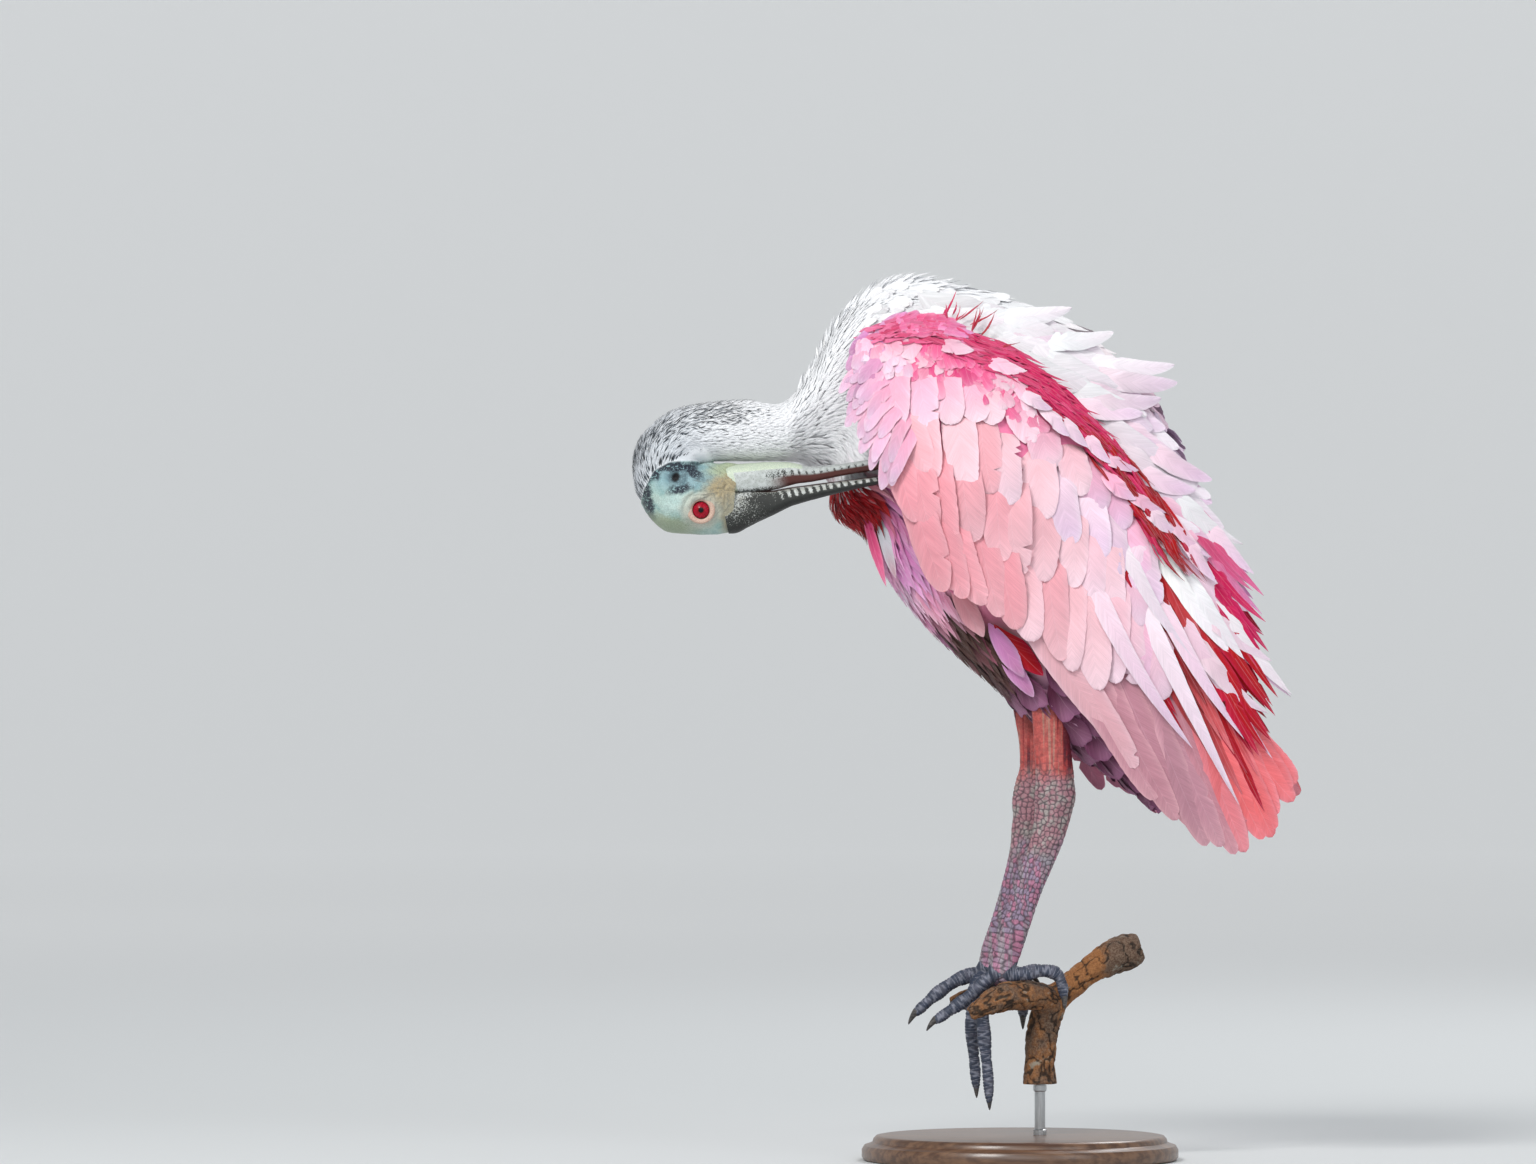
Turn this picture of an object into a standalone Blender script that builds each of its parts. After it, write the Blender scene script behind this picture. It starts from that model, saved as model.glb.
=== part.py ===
"""Roseate spoonbill, life size, preening on a cut branch that a display stand carries.

The bird faces -X with its left side to -Y. Working lengths are millimetres, turned into metres
when a mesh is made. The origin is the middle of the stand's underside.
"""

import math

import bmesh
import bpy
from mathutils import Matrix, Vector

MM = 0.001
GAP = 0.3

# How finely each form is faceted, as rings along it and sides round it.
TORSO_FACETS = (16, 20)
NECK_FACETS = (14, 16)
BILL_FACETS = (20, 10)
POCKET_SIDES = 12
WING_FACETS = (7, 3)
TAIL_FACETS = (4, 14)
SHANK_FACETS = (9, 12)
TARSUS_FACETS = (12, 12)
PAD_FACETS = (4, 12)
LID_FACETS = (14, 5)
TOE_RINGS = 7
BRANCH_RINGS = 8
BASE_SIDES = 48
ROD_SIDES = 20
BALL_ROWS = 6
SMALL_BALL_ROWS = 4
SHARP_ANGLE = 40.0

# The stand: a round base, a rod, and the branch that the rod carries.
BASE_RADIUS = 95.0
BASE_THICKNESS = 15.0
ROD_RADIUS = 4.0

# Body sections from the tail's root to the face, each as the back's point (x, z), the belly's
# point (x, z), the half width, and the middle's y. The neck swings to the bird's left.
BODY = [
    ((105, 259), (59, 231), 24, 0),
    ((109, 307), (19, 257), 40, 0),
    ((102, 358), (-17, 287), 53, 0),
    ((88, 410), (-54, 320), 59, 0),
    ((56, 461), (-78, 350), 58, 0),
    ((6, 501), (-91, 375), 52, 0),
    ((-40, 520), (-108, 387), 43, -1),
    ((-76, 525), (-114, 406), 35, -3),
    ((-106, 505), (-123, 413), 28, -8),
    ((-124, 475), (-132, 418), 22, -15),
    ((-142, 454), (-141, 419), 17.5, -24),
    ((-164, 455), (-161, 419), 16.5, -33),
    ((-187, 453), (-183, 419), 17, -39),
    ((-209, 448), (-192, 419), 18, -42),
    ((-227, 432), (-194, 417), 19, -43),
    ((-231, 412), (-194, 416), 19.5, -43),
    ((-226, 392), (-192, 415), 20, -43),
    ((-214, 378), (-187, 416), 20, -43),
    ((-199, 375.5), (-181, 417), 18.5, -43),
    ((-184, 375), (-175, 418), 16.5, -43),
    ((-173, 376.5), (-169, 417), 14, -43),
]
NECK_START = 7
HEAD_START = 13
HEAD_Y = -43.0
EYE_CENTRE = (-191, 389.5)
EYE_RADIUS = 7.0
EYE_SKIN = 17.205
EYE_SINK = 4.8
LID_RADIUS = 7.6
LID_THICKNESS = 1.3
LID_SINK = 0.6
EAR_CENTRE = (-206, 409)
EAR_SKIN = 18.5
EAR_RADII = (2.4, 3.4, 2.88)
MOUTH_CENTRE = (-169.0, 400.6)
MOUTH_RADII = (9.0, 25.0, 0.7)

# Each mandible's sections: the middle's x and z, the half height and the half width. The lower
# one carries the throat's pouch, so it is deep at its root.
BILL_SLOPE = 0.22
BILL_ROLL = 0.05
NOSTRIL_CENTRE = (-156, 382.5)
NOSTRIL_SPREAD = 4.5
NOSTRIL_RADII = (4.0, 0.9, 2.0)
UPPER_BILL = [
    (-171.5, 388.2, 11.8, 13.0),
    (-160.0, 391.4, 9.3, 12.2),
    (-148.2, 393.8, 6.5, 11.0),
    (-136.7, 397.4, 4.9, 10.0),
    (-113.7, 402.2, 3.4, 9.0),
    (-91.0, 406.3, 2.3, 9.2),
    (-72.0, 409.2, 2.0, 12.0),
    (-53.0, 413.0, 1.8, 18.5),
    (-37.0, 416.4, 1.8, 24.0),
    (-22.0, 419.6, 1.8, 25.5),
    (-11.0, 422.0, 1.6, 20.0),
    (-5.5, 423.2, 1.2, 9.0),
]
LOWER_BILL = [
    (-169.5, 409.4, 7.4, 12.6),
    (-160.0, 410.4, 7.2, 12.0),
    (-149.0, 411.6, 6.7, 10.8),
    (-137.0, 413.1, 4.9, 9.8),
    (-125.0, 412.8, 2.9, 9.2),
    (-108.0, 415.2, 1.9, 8.7),
    (-91.0, 417.9, 1.7, 8.9),
    (-72.0, 420.9, 1.6, 11.4),
    (-53.0, 423.4, 1.6, 17.8),
    (-37.0, 425.4, 1.6, 23.2),
    (-22.0, 427.2, 1.6, 24.6),
    (-12.0, 428.6, 1.5, 19.0),
    (-7.0, 429.2, 1.2, 8.5),
]
# The room for the tucked bill: how far it clears the bill, its first section and its last ring.
POCKET_GROW = 3.0
POCKET_SIDE = 3.0
POCKET_FIRST = 4
POCKET_END = (0.5, 427.2, 4.0, 5.0)
FACE_STEP = 0.04

# The wing lies on a dome over the body's side: its middle, the way its length runs, its half
# length and half breadth, and how far it stands from the body's mid plane.
DOME_MIDDLE = (0.0, 372.0)
DOME_ALONG = (0.62, -0.78)
DOME_LENGTH = 198.0
DOME_BREADTH = 114.0
DOME_HEIGHT = 67.0
DOME_FALL_ALONG = 0.5
DOME_FALL_ACROSS = 0.62
# The near wing is held off the body over the tucked bill.
LIFT_MIDDLE = (-40.0, 424.0)
LIFT_REACH = 62.0
LIFT_NEAR = 17.0
LIFT_FAR = 3.0
CORE_THICKNESS = 4.4
CORE_EDGE = 0.55
SHOULDER_CENTRE = (-56, 42, 478)
SHOULDER_RADII = (22, 14, 20)

WING_BELLY_EDGE = [
    (-82, 492), (-82, 456), (-69, 414), (-42, 376),
    (-6, 346), (36, 310), (74, 266), (94, 236),
]
WING_BACK_EDGE = [
    (-62, 500), (-27, 488), (16, 458), (50, 424),
    (78, 384), (98, 338), (110, 288), (108, 246),
]

# Rows of wing feathers: root line, tip line, count, half width, and height over the dome at
# the root and past the middle. The innermost row comes first.
NEAR_REMIGES = dict(
    roots=[(-8, 352), (40, 330), (84, 330), (98, 300)],
    tips=[(58, 250), (102, 194), (130, 186), (147, 212)],
    count=8, half=10.5, rise=(-1.5, 1.4),
)
FAR_REMIGES = dict(
    roots=[(-8, 352), (40, 330), (84, 330), (98, 310)],
    tips=[(50, 226), (104, 200), (147, 204), (165, 222)],
    count=8, half=10.5, rise=(-1.5, 1.4),
)
GREATER_COVERTS = dict(
    roots=[(-70, 424), (-20, 402), (40, 384), (70, 370)],
    tips=[(-50, 342), (-6, 316), (48, 280), (92, 292)],
    count=8, half=11.0, rise=(-1.5, 4.6),
)
TERTIALS = dict(
    roots=[(36, 400), (60, 392), (84, 366)],
    tips=[(124, 232), (148, 250), (156, 282)],
    count=5, half=8.0, rise=(-1.5, 5.6),
)
MEDIAN_COVERTS = dict(
    roots=[(-78, 466), (-40, 458), (6, 436), (48, 412)],
    tips=[(-72, 412), (-28, 388), (22, 366), (78, 348)],
    count=7, half=10.0, rise=(-1.5, 7.8),
)
LESSER_COVERTS = dict(
    roots=[(-76, 490), (-52, 490), (-18, 474), (14, 450)],
    tips=[(-92, 446), (-50, 446), (-2, 432), (44, 412)],
    count=6, half=9.0, rise=(-1.5, 11.0),
)
SCAPULARS = dict(
    roots=[(-30, 484), (10, 458), (46, 424), (74, 388)],
    tips=[(34, 436), (88, 382), (124, 334), (152, 288)],
    count=6, half=8.5, rise=(-1.5, 9.4),
)
VANE_THICKNESS = 0.7
VANE_SHAPE = (0.5, 0.92, 1.0, 0.92, 0.38)
VANE_ROLL = 7.0

# The back's feathers, in rows at angles from the ridge: where each roots on the body, how far
# its tip stands off, and how much of the body's stations it covers.
MANTLE_ANGLES = (0, 19, -19, 36, -36)
MANTLE_ROOTS = (6.6, 5.8, 5.0, 4.2, 3.4, 2.6)
MANTLE_RISE = (7.0, 14.0, 27.0, 24.0, 16.0, 9.0)
MANTLE_REACH = 1.3
MANTLE_HALF = 9.4
MANTLE_SINK = -2.0
MANTLE_STAGGER = 0.3
MANTLE_END = 0.35
MANTLE_CURVE = 0.8

# Loose plumes that hang at the breast: place and angle on the body, how far the tip stands
# forward, how far it hangs, and the half width.
BREAST_PLUMES = [
    (5.3, -152, 4.0, 42.0, 7.0),
    (5.0, -140, 9.0, 36.0, 6.0),
    (5.2, 150, 5.0, 40.0, 7.0),
]
PLUME_SINK = -4.0
PLUME_FACE = -0.5

TAIL_SECTIONS = [
    ((105, 259), (59, 231), 24, 0),
    ((113, 239), (80, 219), 17, 0),
    ((118, 223), (98, 211), 10, 0),
]
TAIL_ROOT = (92.0, 236.0)
TAIL_TIP = (129.0, 184.0)
TAIL_HALF = 6.5
TAIL_PAIRS = 5
TAIL_ROOT_SPREAD = 5.0
TAIL_SPREAD = 13.0
# Each pair of tail feathers is shorter and lies lower than the last, the left one below the right.
TAIL_SHORTER = 1.6
TAIL_TOP = 2.4
TAIL_DROP = 1.15
TAIL_SIDE_STEP = 0.25
TAIL_SHAPE = (0.7, 0.85, 1.0, 1.0, 0.5)

# Leg sections down each leg: the middle's x and z, then half depth and half width.
ANKLE_Z = 220.0
SOLE_Z = 117.5
NEAR_LEG_Y = -20.0
FAR_LEG_Y = 15.0
NEAR_SHANK = [
    (2, 322, 17, 12), (10, 300, 14, 9.5), (16, 282, 11.6, 7), (17.6, 268, 11, 6),
    (18.6, 250, 11, 6), (20.1, 234, 11.4, 7.2), (20.2, ANKLE_Z + GAP, 12.2, 8.6),
]
NEAR_TARSUS = [
    (20.2, ANKLE_Z, 12.2, 8.6), (19.0, 208, 10.8, 8), (16.0, 194, 9.6, 6.2), (11.0, 180, 8.8, 5.2),
    (4.0, 162, 8.2, 4.8), (-2.5, 142, 8.0, 4.8), (-8.0, 126, 8.2, 5.4), (-10.6, SOLE_Z, 7.8, 6.2),
]
FAR_SHANK = [
    (-8, 322, 17, 12), (0, 300, 14, 9.5), (5, 284, 11.6, 7), (7.8, 268, 11, 6),
    (10.8, 250, 11, 6), (11.4, 234, 11.4, 7.2), (8.8, ANKLE_Z + GAP, 12.2, 8.6),
]
FAR_TARSUS = [
    (8.8, ANKLE_Z, 12.2, 8.6), (6.4, 208, 10.8, 8), (4.8, 194, 9.6, 6.2), (2.0, 180, 8.8, 5.2),
    (-3.0, 162, 8.2, 4.8), (-9.0, 142, 8.0, 4.8), (-14.4, 126, 8.2, 5.4), (-16.6, SOLE_Z, 7.8, 6.2),
]

# Toes: points from the foot's pad to the claw's tip.
NEAR_PAD = [(-10.6, SOLE_Z - GAP, 7.8, 6.2), (-11.3, 113.5, 8.6, 7.2), (-11.5, 108, 5.5, 4.6)]
NEAR_TOES = {
    "inner": [
        (-12, -20, 112), (-20, -19, 109), (-29, -19, 100.5),
        (-38, -19.5, 93.5), (-46, -20, 88), (-53, -21, 83),
    ],
    "middle": [
        (-12, -19, 111), (-19, -13, 106), (-22.5, -9.5, 91),
        (-21.5, -9, 72), (-19.5, -10, 52), (-18.5, -12, 32),
    ],
    "outer": [
        (-11, -20, 111.4), (1, -20.5, 112.6), (12, -19.5, 114.4),
        (21, -18, 112.5), (25, -17, 105), (26, -17.5, 96),
    ],
    "hind": [(-11, -19, 112), (-3, -12, 112.4), (3, -5.5, 111.6), (8, -1.5, 109)],
}
FAR_PAD = [(-16.6, SOLE_Z - GAP, 7.8, 6.2), (-17.3, 113.5, 8.6, 7.2), (-17.5, 108, 5.5, 4.6)]
FAR_TOES = {
    "inner": [
        (-18, 15, 111.5), (-10, 22, 112.2), (-3, 28, 108),
        (1, 32, 99), (2.5, 32.5, 90), (2.5, 32.5, 83),
    ],
    "middle": [
        (-18, 14, 111), (-25, 9, 106), (-28.5, 5.5, 92),
        (-28.5, 4.5, 74), (-27, 4, 56), (-26, 3, 40),
    ],
    "outer": [
        (-18, 15, 111.5), (-28, 14, 111), (-40, 12.5, 106),
        (-50, 11, 99), (-58, 9.5, 92), (-64, 8.5, 86),
    ],
    "hind": [(-17, 15, 112), (-8, 12.5, 113.6), (0, 9, 112.8), (6, 6, 110.4)],
}
TOE_RADIUS = 4.3
HIND_RADIUS = 3.2
TOE_TAPER = (1.15, 1.0, 0.94, 0.88, 0.72, 0.2)

# The branch, as points with radii: its stem, its two prongs and its broken limb.
STEM = [(12, 2, 45, 11), (12, 2, 60, 10), (14, 2, 80, 10.5), (19, 2, 97, 10.5)]
NEAR_PRONG = [
    (19, 2, 95, 10), (7, -12, 99, 9.4), (-6, -22, 99.6, 9.6),
    (-17, -29, 96, 8.4), (-31, -35, 89, 4.6),
]
FAR_PRONG = [(19, 2, 95, 10), (5, 14, 99.4, 9.2), (-10, 20, 100, 9.0), (-25, 24, 97, 7.6), (-41, 27, 92, 5)]
LIMB = [
    (18, 2, 94, 9.5), (31, 4, 105, 8.8), (43, 7, 114, 9),
    (56, 10, 121, 11.5), (67, 12, 125.5, 11), (73, 13, 127.5, 8),
]

# Each finish: red, green, blue, roughness, metallic.
COLOURS = {
    "feather_pink": (0.86, 0.42, 0.48, 0.7, 0.0),
    "feather_white": (0.9, 0.86, 0.86, 0.75, 0.0),
    "feather_orange": (0.85, 0.4, 0.16, 0.7, 0.0),
    "head_skin": (0.55, 0.68, 0.6, 0.6, 0.0),
    "bill_horn": (0.36, 0.37, 0.34, 0.45, 0.0),
    "eye_red": (0.5, 0.02, 0.02, 0.1, 0.0),
    "leg_skin": (0.5, 0.32, 0.36, 0.6, 0.0),
    "bark": (0.26, 0.15, 0.08, 0.85, 0.0),
    "base_wood": (0.2, 0.12, 0.07, 0.5, 0.0),
    "rod_metal": (0.3, 0.3, 0.3, 0.35, 1.0),
}


def clear_scene():
    """Removes whatever the file starts with."""
    for found in list(bpy.data.objects):
        bpy.data.objects.remove(found)


def material_of(name):
    """The finish of this name, made once."""
    made = bpy.data.materials.get(name)
    if made:
        return made
    red, green, blue, roughness, metallic = COLOURS[name]
    made = bpy.data.materials.new(name)
    made.use_nodes = True
    shader = made.node_tree.nodes["Principled BSDF"]
    shader.inputs["Base Color"].default_value = (red, green, blue, 1.0)
    shader.inputs["Roughness"].default_value = roughness
    shader.inputs["Metallic"].default_value = metallic
    return made


def smooth_value(values, place):
    """The value at a fractional place in a list of numbers, on a Catmull-Rom curve."""
    last = len(values) - 1
    low = min(max(int(place), 0), last - 1)
    part = place - low
    start, end = values[low], values[low + 1]
    before = values[low - 1] if low else 2 * start - end
    after = values[low + 2] if low + 2 <= last else 2 * end - start
    return 0.5 * (
        2 * start
        + (end - before) * part
        + (2 * before - 5 * start + 4 * end - after) * part**2
        + (3 * start - before - 3 * end + after) * part**3
    )


def smooth_point(points, place):
    """The point at a fractional place in a list of points with any count of numbers."""
    return [smooth_value([p[k] for p in points], place) for k in range(len(points[0]))]


def along(points, share):
    """The point a share of the way along a list of points."""
    return smooth_point(points, share * (len(points) - 1))


def in_model(name, mesh):
    """A mesh or curve as an object of the model."""
    made = bpy.data.objects.new(name, mesh)
    model.objects.link(made)
    return made


def mesh_from(name, points, faces):
    """An object from points in millimetres, of triangles that face out."""
    mesh = bpy.data.meshes.new(name)
    mesh.from_pydata([tuple(c * MM for c in p) for p in points], [], faces)
    work = bmesh.new()
    work.from_mesh(mesh)
    bmesh.ops.triangulate(work, faces=work.faces)
    bmesh.ops.recalc_face_normals(work, faces=work.faces)
    work.to_mesh(mesh)
    work.free()
    return in_model(name, mesh)


def loft(name, rings):
    """A closed solid through rings of points, all of one count."""
    sides = len(rings[0])
    points = [p for ring in rings for p in ring]
    faces = [tuple(range(sides)), tuple(range(len(points) - sides, len(points)))]
    for row in range(len(rings) - 1):
        for side in range(sides):
            after = (side + 1) % sides
            low, high = row * sides, (row + 1) * sides
            faces.append((low + side, low + after, high + after, high + side))
    return mesh_from(name, points, faces)


def body_frame(place):
    """The middle, the half vector to the back, and the half width at a place on the body."""
    flat = [(*back, *belly, half, middle) for back, belly, half, middle in BODY]
    back_x, back_z, belly_x, belly_z, half, y = smooth_point(flat, place)
    middle = Vector(((back_x + belly_x) / 2, y, (back_z + belly_z) / 2))
    up = Vector(((back_x - belly_x) / 2, 0, (back_z - belly_z) / 2))
    return middle, up, half


def body_point(place, angle, rise=0.0):
    """A point of the body's surface, at an angle in degrees from the back's ridge."""
    middle, up, half = body_frame(place)
    turn = math.radians(angle)
    out = up * math.cos(turn) + Vector((0, half * math.sin(turn), 0))
    return middle + out + out.normalized() * rise


def body_solid(name, start, end, facets, grow=0.0):
    """The solid of the body between two places, starting a gap past the first."""
    rings, sides = facets
    made = []
    for k in range(rings + 1):
        place = start + (end - start) * k / rings
        made.append([body_point(place, 360 * s / sides, grow) for s in range(sides)])
    if start and not grow:
        middle, up, _ = body_frame(start)
        ahead = up.cross(Vector((0, 1, 0))).normalized()
        if ahead.dot(body_frame(start + 0.1)[0] - middle) < 0:
            ahead = -ahead
        made[0] = [p + ahead * GAP for p in made[0]]
    return loft(name, made)


def limb_solid(name, sections, y, facets):
    """A leg piece down its sections of (x, z, half depth, half width)."""
    rings, sides = facets
    made = []
    for k in range(rings + 1):
        x, z, depth, width = along(sections, k / rings)
        turns = [2 * math.pi * s / sides for s in range(sides)]
        made.append([(x + depth * math.cos(t), y + width * math.sin(t), z) for t in turns])
    return loft(name, made)


def tube(name, points, radii, rings, grow=0.0):
    """A round bar along points, with a radius at each, made from a curve."""
    curve = bpy.data.curves.new(name, "CURVE")
    curve.dimensions = "3D"
    curve.bevel_depth = MM
    curve.bevel_resolution = 2
    curve.use_fill_caps = True
    line = curve.splines.new("POLY")
    line.points.add(rings)
    for k, point in enumerate(line.points):
        x, y, z = along(points, k / rings)
        point.co = (x * MM, y * MM, z * MM, 1)
        point.radius = along([(r,) for r in radii], k / rings)[0] + grow
    guide = in_model(name, curve)
    graph = bpy.context.evaluated_depsgraph_get()
    mesh = bpy.data.meshes.new_from_object(guide.evaluated_get(graph))
    bpy.data.objects.remove(guide)
    work = bmesh.new()
    work.from_mesh(mesh)
    bmesh.ops.remove_doubles(work, verts=work.verts, dist=1e-6)
    bmesh.ops.triangulate(work, faces=work.faces)
    bmesh.ops.recalc_face_normals(work, faces=work.faces)
    work.to_mesh(mesh)
    work.free()
    return in_model(name, mesh)


def placed(name, primitive):
    """The active primitive, renamed and moved to the model's collection."""
    made = bpy.context.active_object
    made.name = name
    for held in list(made.users_collection):
        held.objects.unlink(made)
    model.objects.link(made)
    made.data.transform(primitive)
    made.matrix_world = Matrix.Identity(4)
    return made


def ball(name, centre, radii, rows):
    """An ellipsoid with a radius along each axis."""
    bpy.ops.mesh.primitive_uv_sphere_add(segments=rows * 2, ring_count=rows, radius=MM)
    return placed(name, Matrix.Translation(Vector(centre) * MM) @ Matrix.Diagonal((*radii, 1.0)))


def rod(name, centre, radius, height, sides):
    """An upright cylinder."""
    bpy.ops.mesh.primitive_cylinder_add(vertices=sides, radius=radius * MM, depth=height * MM)
    return placed(name, Matrix.Translation(Vector(centre) * MM))


def hoop(name, centre, radius, thickness):
    """A ring whose axis runs across the bird."""
    round_it, round_bar = LID_FACETS
    bpy.ops.mesh.primitive_torus_add(
        major_radius=radius * MM, minor_radius=thickness * MM,
        major_segments=round_it, minor_segments=round_bar,
    )
    turned = Matrix.Rotation(math.pi / 2, 4, "X")
    return placed(name, Matrix.Translation(Vector(centre) * MM) @ turned)


def keep_largest_surface(mesh):
    """Welds a cut mesh and drops the small closed surfaces that a cut may leave inside it."""
    work = bmesh.new()
    work.from_mesh(mesh)
    bmesh.ops.remove_doubles(work, verts=work.verts, dist=1e-6)
    left = set(work.faces)
    groups = []
    while left:
        stack = [left.pop()]
        group = []
        while stack:
            face = stack.pop()
            group.append(face)
            for edge in face.edges:
                for other in edge.link_faces:
                    if other in left:
                        left.remove(other)
                        stack.append(other)
        groups.append(group)
    groups.sort(key=len)
    drop = [face for group in groups[:-1] for face in group]
    bmesh.ops.delete(work, geom=drop, context="FACES")
    bmesh.ops.triangulate(work, faces=work.faces)
    work.to_mesh(mesh)
    work.free()


def combine(kept, pieces, operation):
    """Joins the pieces to an object, or cuts them from it, and removes them."""
    group = bpy.data.collections.new("pieces")
    for piece in pieces:
        for held in list(piece.users_collection):
            held.objects.unlink(piece)
        group.objects.link(piece)
    change = kept.modifiers.new(operation.lower(), "BOOLEAN")
    change.operation = operation
    change.operand_type = "COLLECTION"
    change.collection = group
    change.solver = "EXACT"
    graph = bpy.context.evaluated_depsgraph_get()
    mesh = bpy.data.meshes.new_from_object(kept.evaluated_get(graph))
    kept.modifiers.clear()
    kept.data = mesh
    for piece in list(group.objects):
        bpy.data.objects.remove(piece)
    bpy.data.collections.remove(group)
    keep_largest_surface(mesh)


def finish(made, name, colour):
    """Gives a solid its node name, its finish and its shading."""
    made.name = name
    made.data.name = name
    made.data.materials.clear()
    made.data.materials.append(material_of(colour))
    made.data.shade_smooth()
    made.data.set_sharp_from_angle(angle=math.radians(SHARP_ANGLE))
    return made


def dome(x, z, lift):
    """How far the wing's dome stands from the mid plane at (x, z)."""
    dx, dz = x - DOME_MIDDLE[0], z - DOME_MIDDLE[1]
    a = (dx * DOME_ALONG[0] + dz * DOME_ALONG[1]) / DOME_LENGTH
    b = (-dx * DOME_ALONG[1] + dz * DOME_ALONG[0]) / DOME_BREADTH
    off = ((x - LIFT_MIDDLE[0]) ** 2 + (z - LIFT_MIDDLE[1]) ** 2) / LIFT_REACH**2
    height = DOME_HEIGHT * (1 - DOME_FALL_ALONG * a * a - DOME_FALL_ACROSS * b * b)
    return height + lift * math.exp(-off)


def dome_point(x, z, side, lift, rise):
    """A point over the dome and its outward way. The side is -1 near and 1 far."""
    slope_x = (dome(x + 1, z, lift) - dome(x - 1, z, lift)) / 2
    slope_z = (dome(x, z + 1, lift) - dome(x, z - 1, lift)) / 2
    out = Vector((-slope_x, side, -slope_z)).normalized()
    return Vector((x, side * dome(x, z, lift), z)) + out * rise, out


def vane(line, outs, half, shape=VANE_SHAPE, roll=0.0):
    """A feather: a thin plate along a line of points, with both faces split alike."""
    points, faces = [], [(0, 2, 1), (0, 3, 2)]
    last = len(line) - 1
    for k, middle in enumerate(line):
        ahead = (line[min(k + 1, last)] - line[max(k - 1, 0)]).normalized()
        out = (outs[k] - ahead * outs[k].dot(ahead)).normalized()
        out = Matrix.Rotation(math.radians(roll), 3, ahead) @ out
        wide = out.cross(ahead) * half * shape[k]
        deep = out * VANE_THICKNESS / 2
        points += [middle - wide - deep, middle + wide - deep, middle + wide + deep, middle - wide + deep]
    for k in range(last):
        a, b, c, d, e, f, g, h = range(4 * k, 4 * k + 8)
        faces += [(a, b, f), (a, f, e), (b, c, g), (b, g, f), (c, d, g), (d, h, g), (d, a, e), (d, e, h)]
    end = 4 * last
    faces += [(end, end + 1, end + 2), (end, end + 2, end + 3)]
    return mesh_from("vane", points, faces)


def row_of_vanes(row, side, lift):
    """One row of wing feathers over the dome, each shingled on the next."""
    made = []
    steps = len(VANE_SHAPE) - 1
    low, high = row["rise"]
    for k in range(row["count"]):
        share = k / (row["count"] - 1)
        root, tip = along(row["roots"], share), along(row["tips"], share)
        line, outs = [], []
        for step in range(steps + 1):
            part = step / steps
            x = root[0] + (tip[0] - root[0]) * part
            z = root[1] + (tip[1] - root[1]) * part
            point, out = dome_point(x, z, side, lift, low + (high - low) * min(1.0, part * 2))
            line.append(point)
            outs.append(out)
        made.append(vane(line, outs, row["half"], roll=side * VANE_ROLL))
    return made


def wing(name, side, lift, rows, cutter):
    """A folded wing: a shell over the dome, its rows of feathers, and its shoulder."""
    rings = []
    steps, across = WING_FACETS
    for k in range(steps + 1):
        low, high = along(WING_BELLY_EDGE, k / steps), along(WING_BACK_EDGE, k / steps)
        outer, inner = [], []
        for c in range(across + 1):
            part = c / across
            x = low[0] + (high[0] - low[0]) * part
            z = low[1] + (high[1] - low[1]) * part
            thick = CORE_THICKNESS * (CORE_EDGE + (1 - CORE_EDGE) * math.sin(math.pi * part))
            outer.append(dome_point(x, z, side, lift, 0.0)[0])
            inner.append(dome_point(x, z, side, lift, -thick)[0])
        rings.append(outer + inner[::-1])
    core = loft(name, rings)
    vanes = [v for row in rows for v in row_of_vanes(row, side, lift)]
    x, y, z = SHOULDER_CENTRE
    shoulder = ball("shoulder", (x, side * y, z), SHOULDER_RADII, BALL_ROWS)
    combine(core, vanes + [shoulder], "UNION")
    combine(core, [cutter], "DIFFERENCE")
    finish(core, name, "feather_pink")


def mantle_vanes():
    """The back's feathers, in rows round the ridge, lifting at their tips."""
    made = []
    steps = len(VANE_SHAPE) - 1
    for row, angle in enumerate(MANTLE_ANGLES):
        for root, rise in zip(MANTLE_ROOTS, MANTLE_RISE):
            start = root - MANTLE_STAGGER * ((row + 1) // 2 % 2)
            line, outs = [], []
            for step in range(steps + 1):
                part = step / steps
                place = max(start - MANTLE_REACH * part, MANTLE_END)
                lift = MANTLE_SINK + (rise - MANTLE_SINK) * part**MANTLE_CURVE
                point = body_point(place, angle, lift)
                line.append(point)
                outs.append((point - body_frame(place)[0]).normalized())
            made.append(vane(line, outs, MANTLE_HALF))
    return made


def breast_plumes():
    """The loose plumes that hang from the breast, clear of the body at their tips."""
    made = []
    steps = len(VANE_SHAPE) - 1
    for place, angle, forward, drop, half in BREAST_PLUMES:
        start = body_point(place, angle, PLUME_SINK)
        end = start + Vector((forward, 0, -drop))
        out = Vector((PLUME_FACE, math.copysign(1.0, angle), 0.0))
        line = [start.lerp(end, k / steps) for k in range(steps + 1)]
        made.append(vane(line, [out] * len(line), half))
    return made


def bill_ring(section, sides, grow=0.0):
    """A mandible's section, tipped with the bill's slope and roll."""
    x, z, height, width = section
    ring = []
    for s in range(sides):
        turn = 2 * math.pi * s / sides
        across, rise = (width + grow) * math.cos(turn), (height + grow) * math.sin(turn)
        ring.append((x - BILL_SLOPE * rise, HEAD_Y + across, z + rise + BILL_ROLL * across))
    return ring


def mandible(name, sections):
    """One half of the bill, through its sections."""
    rings, sides = BILL_FACETS
    return loft(name, [bill_ring(along(sections, k / rings), sides) for k in range(rings + 1)])


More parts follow.
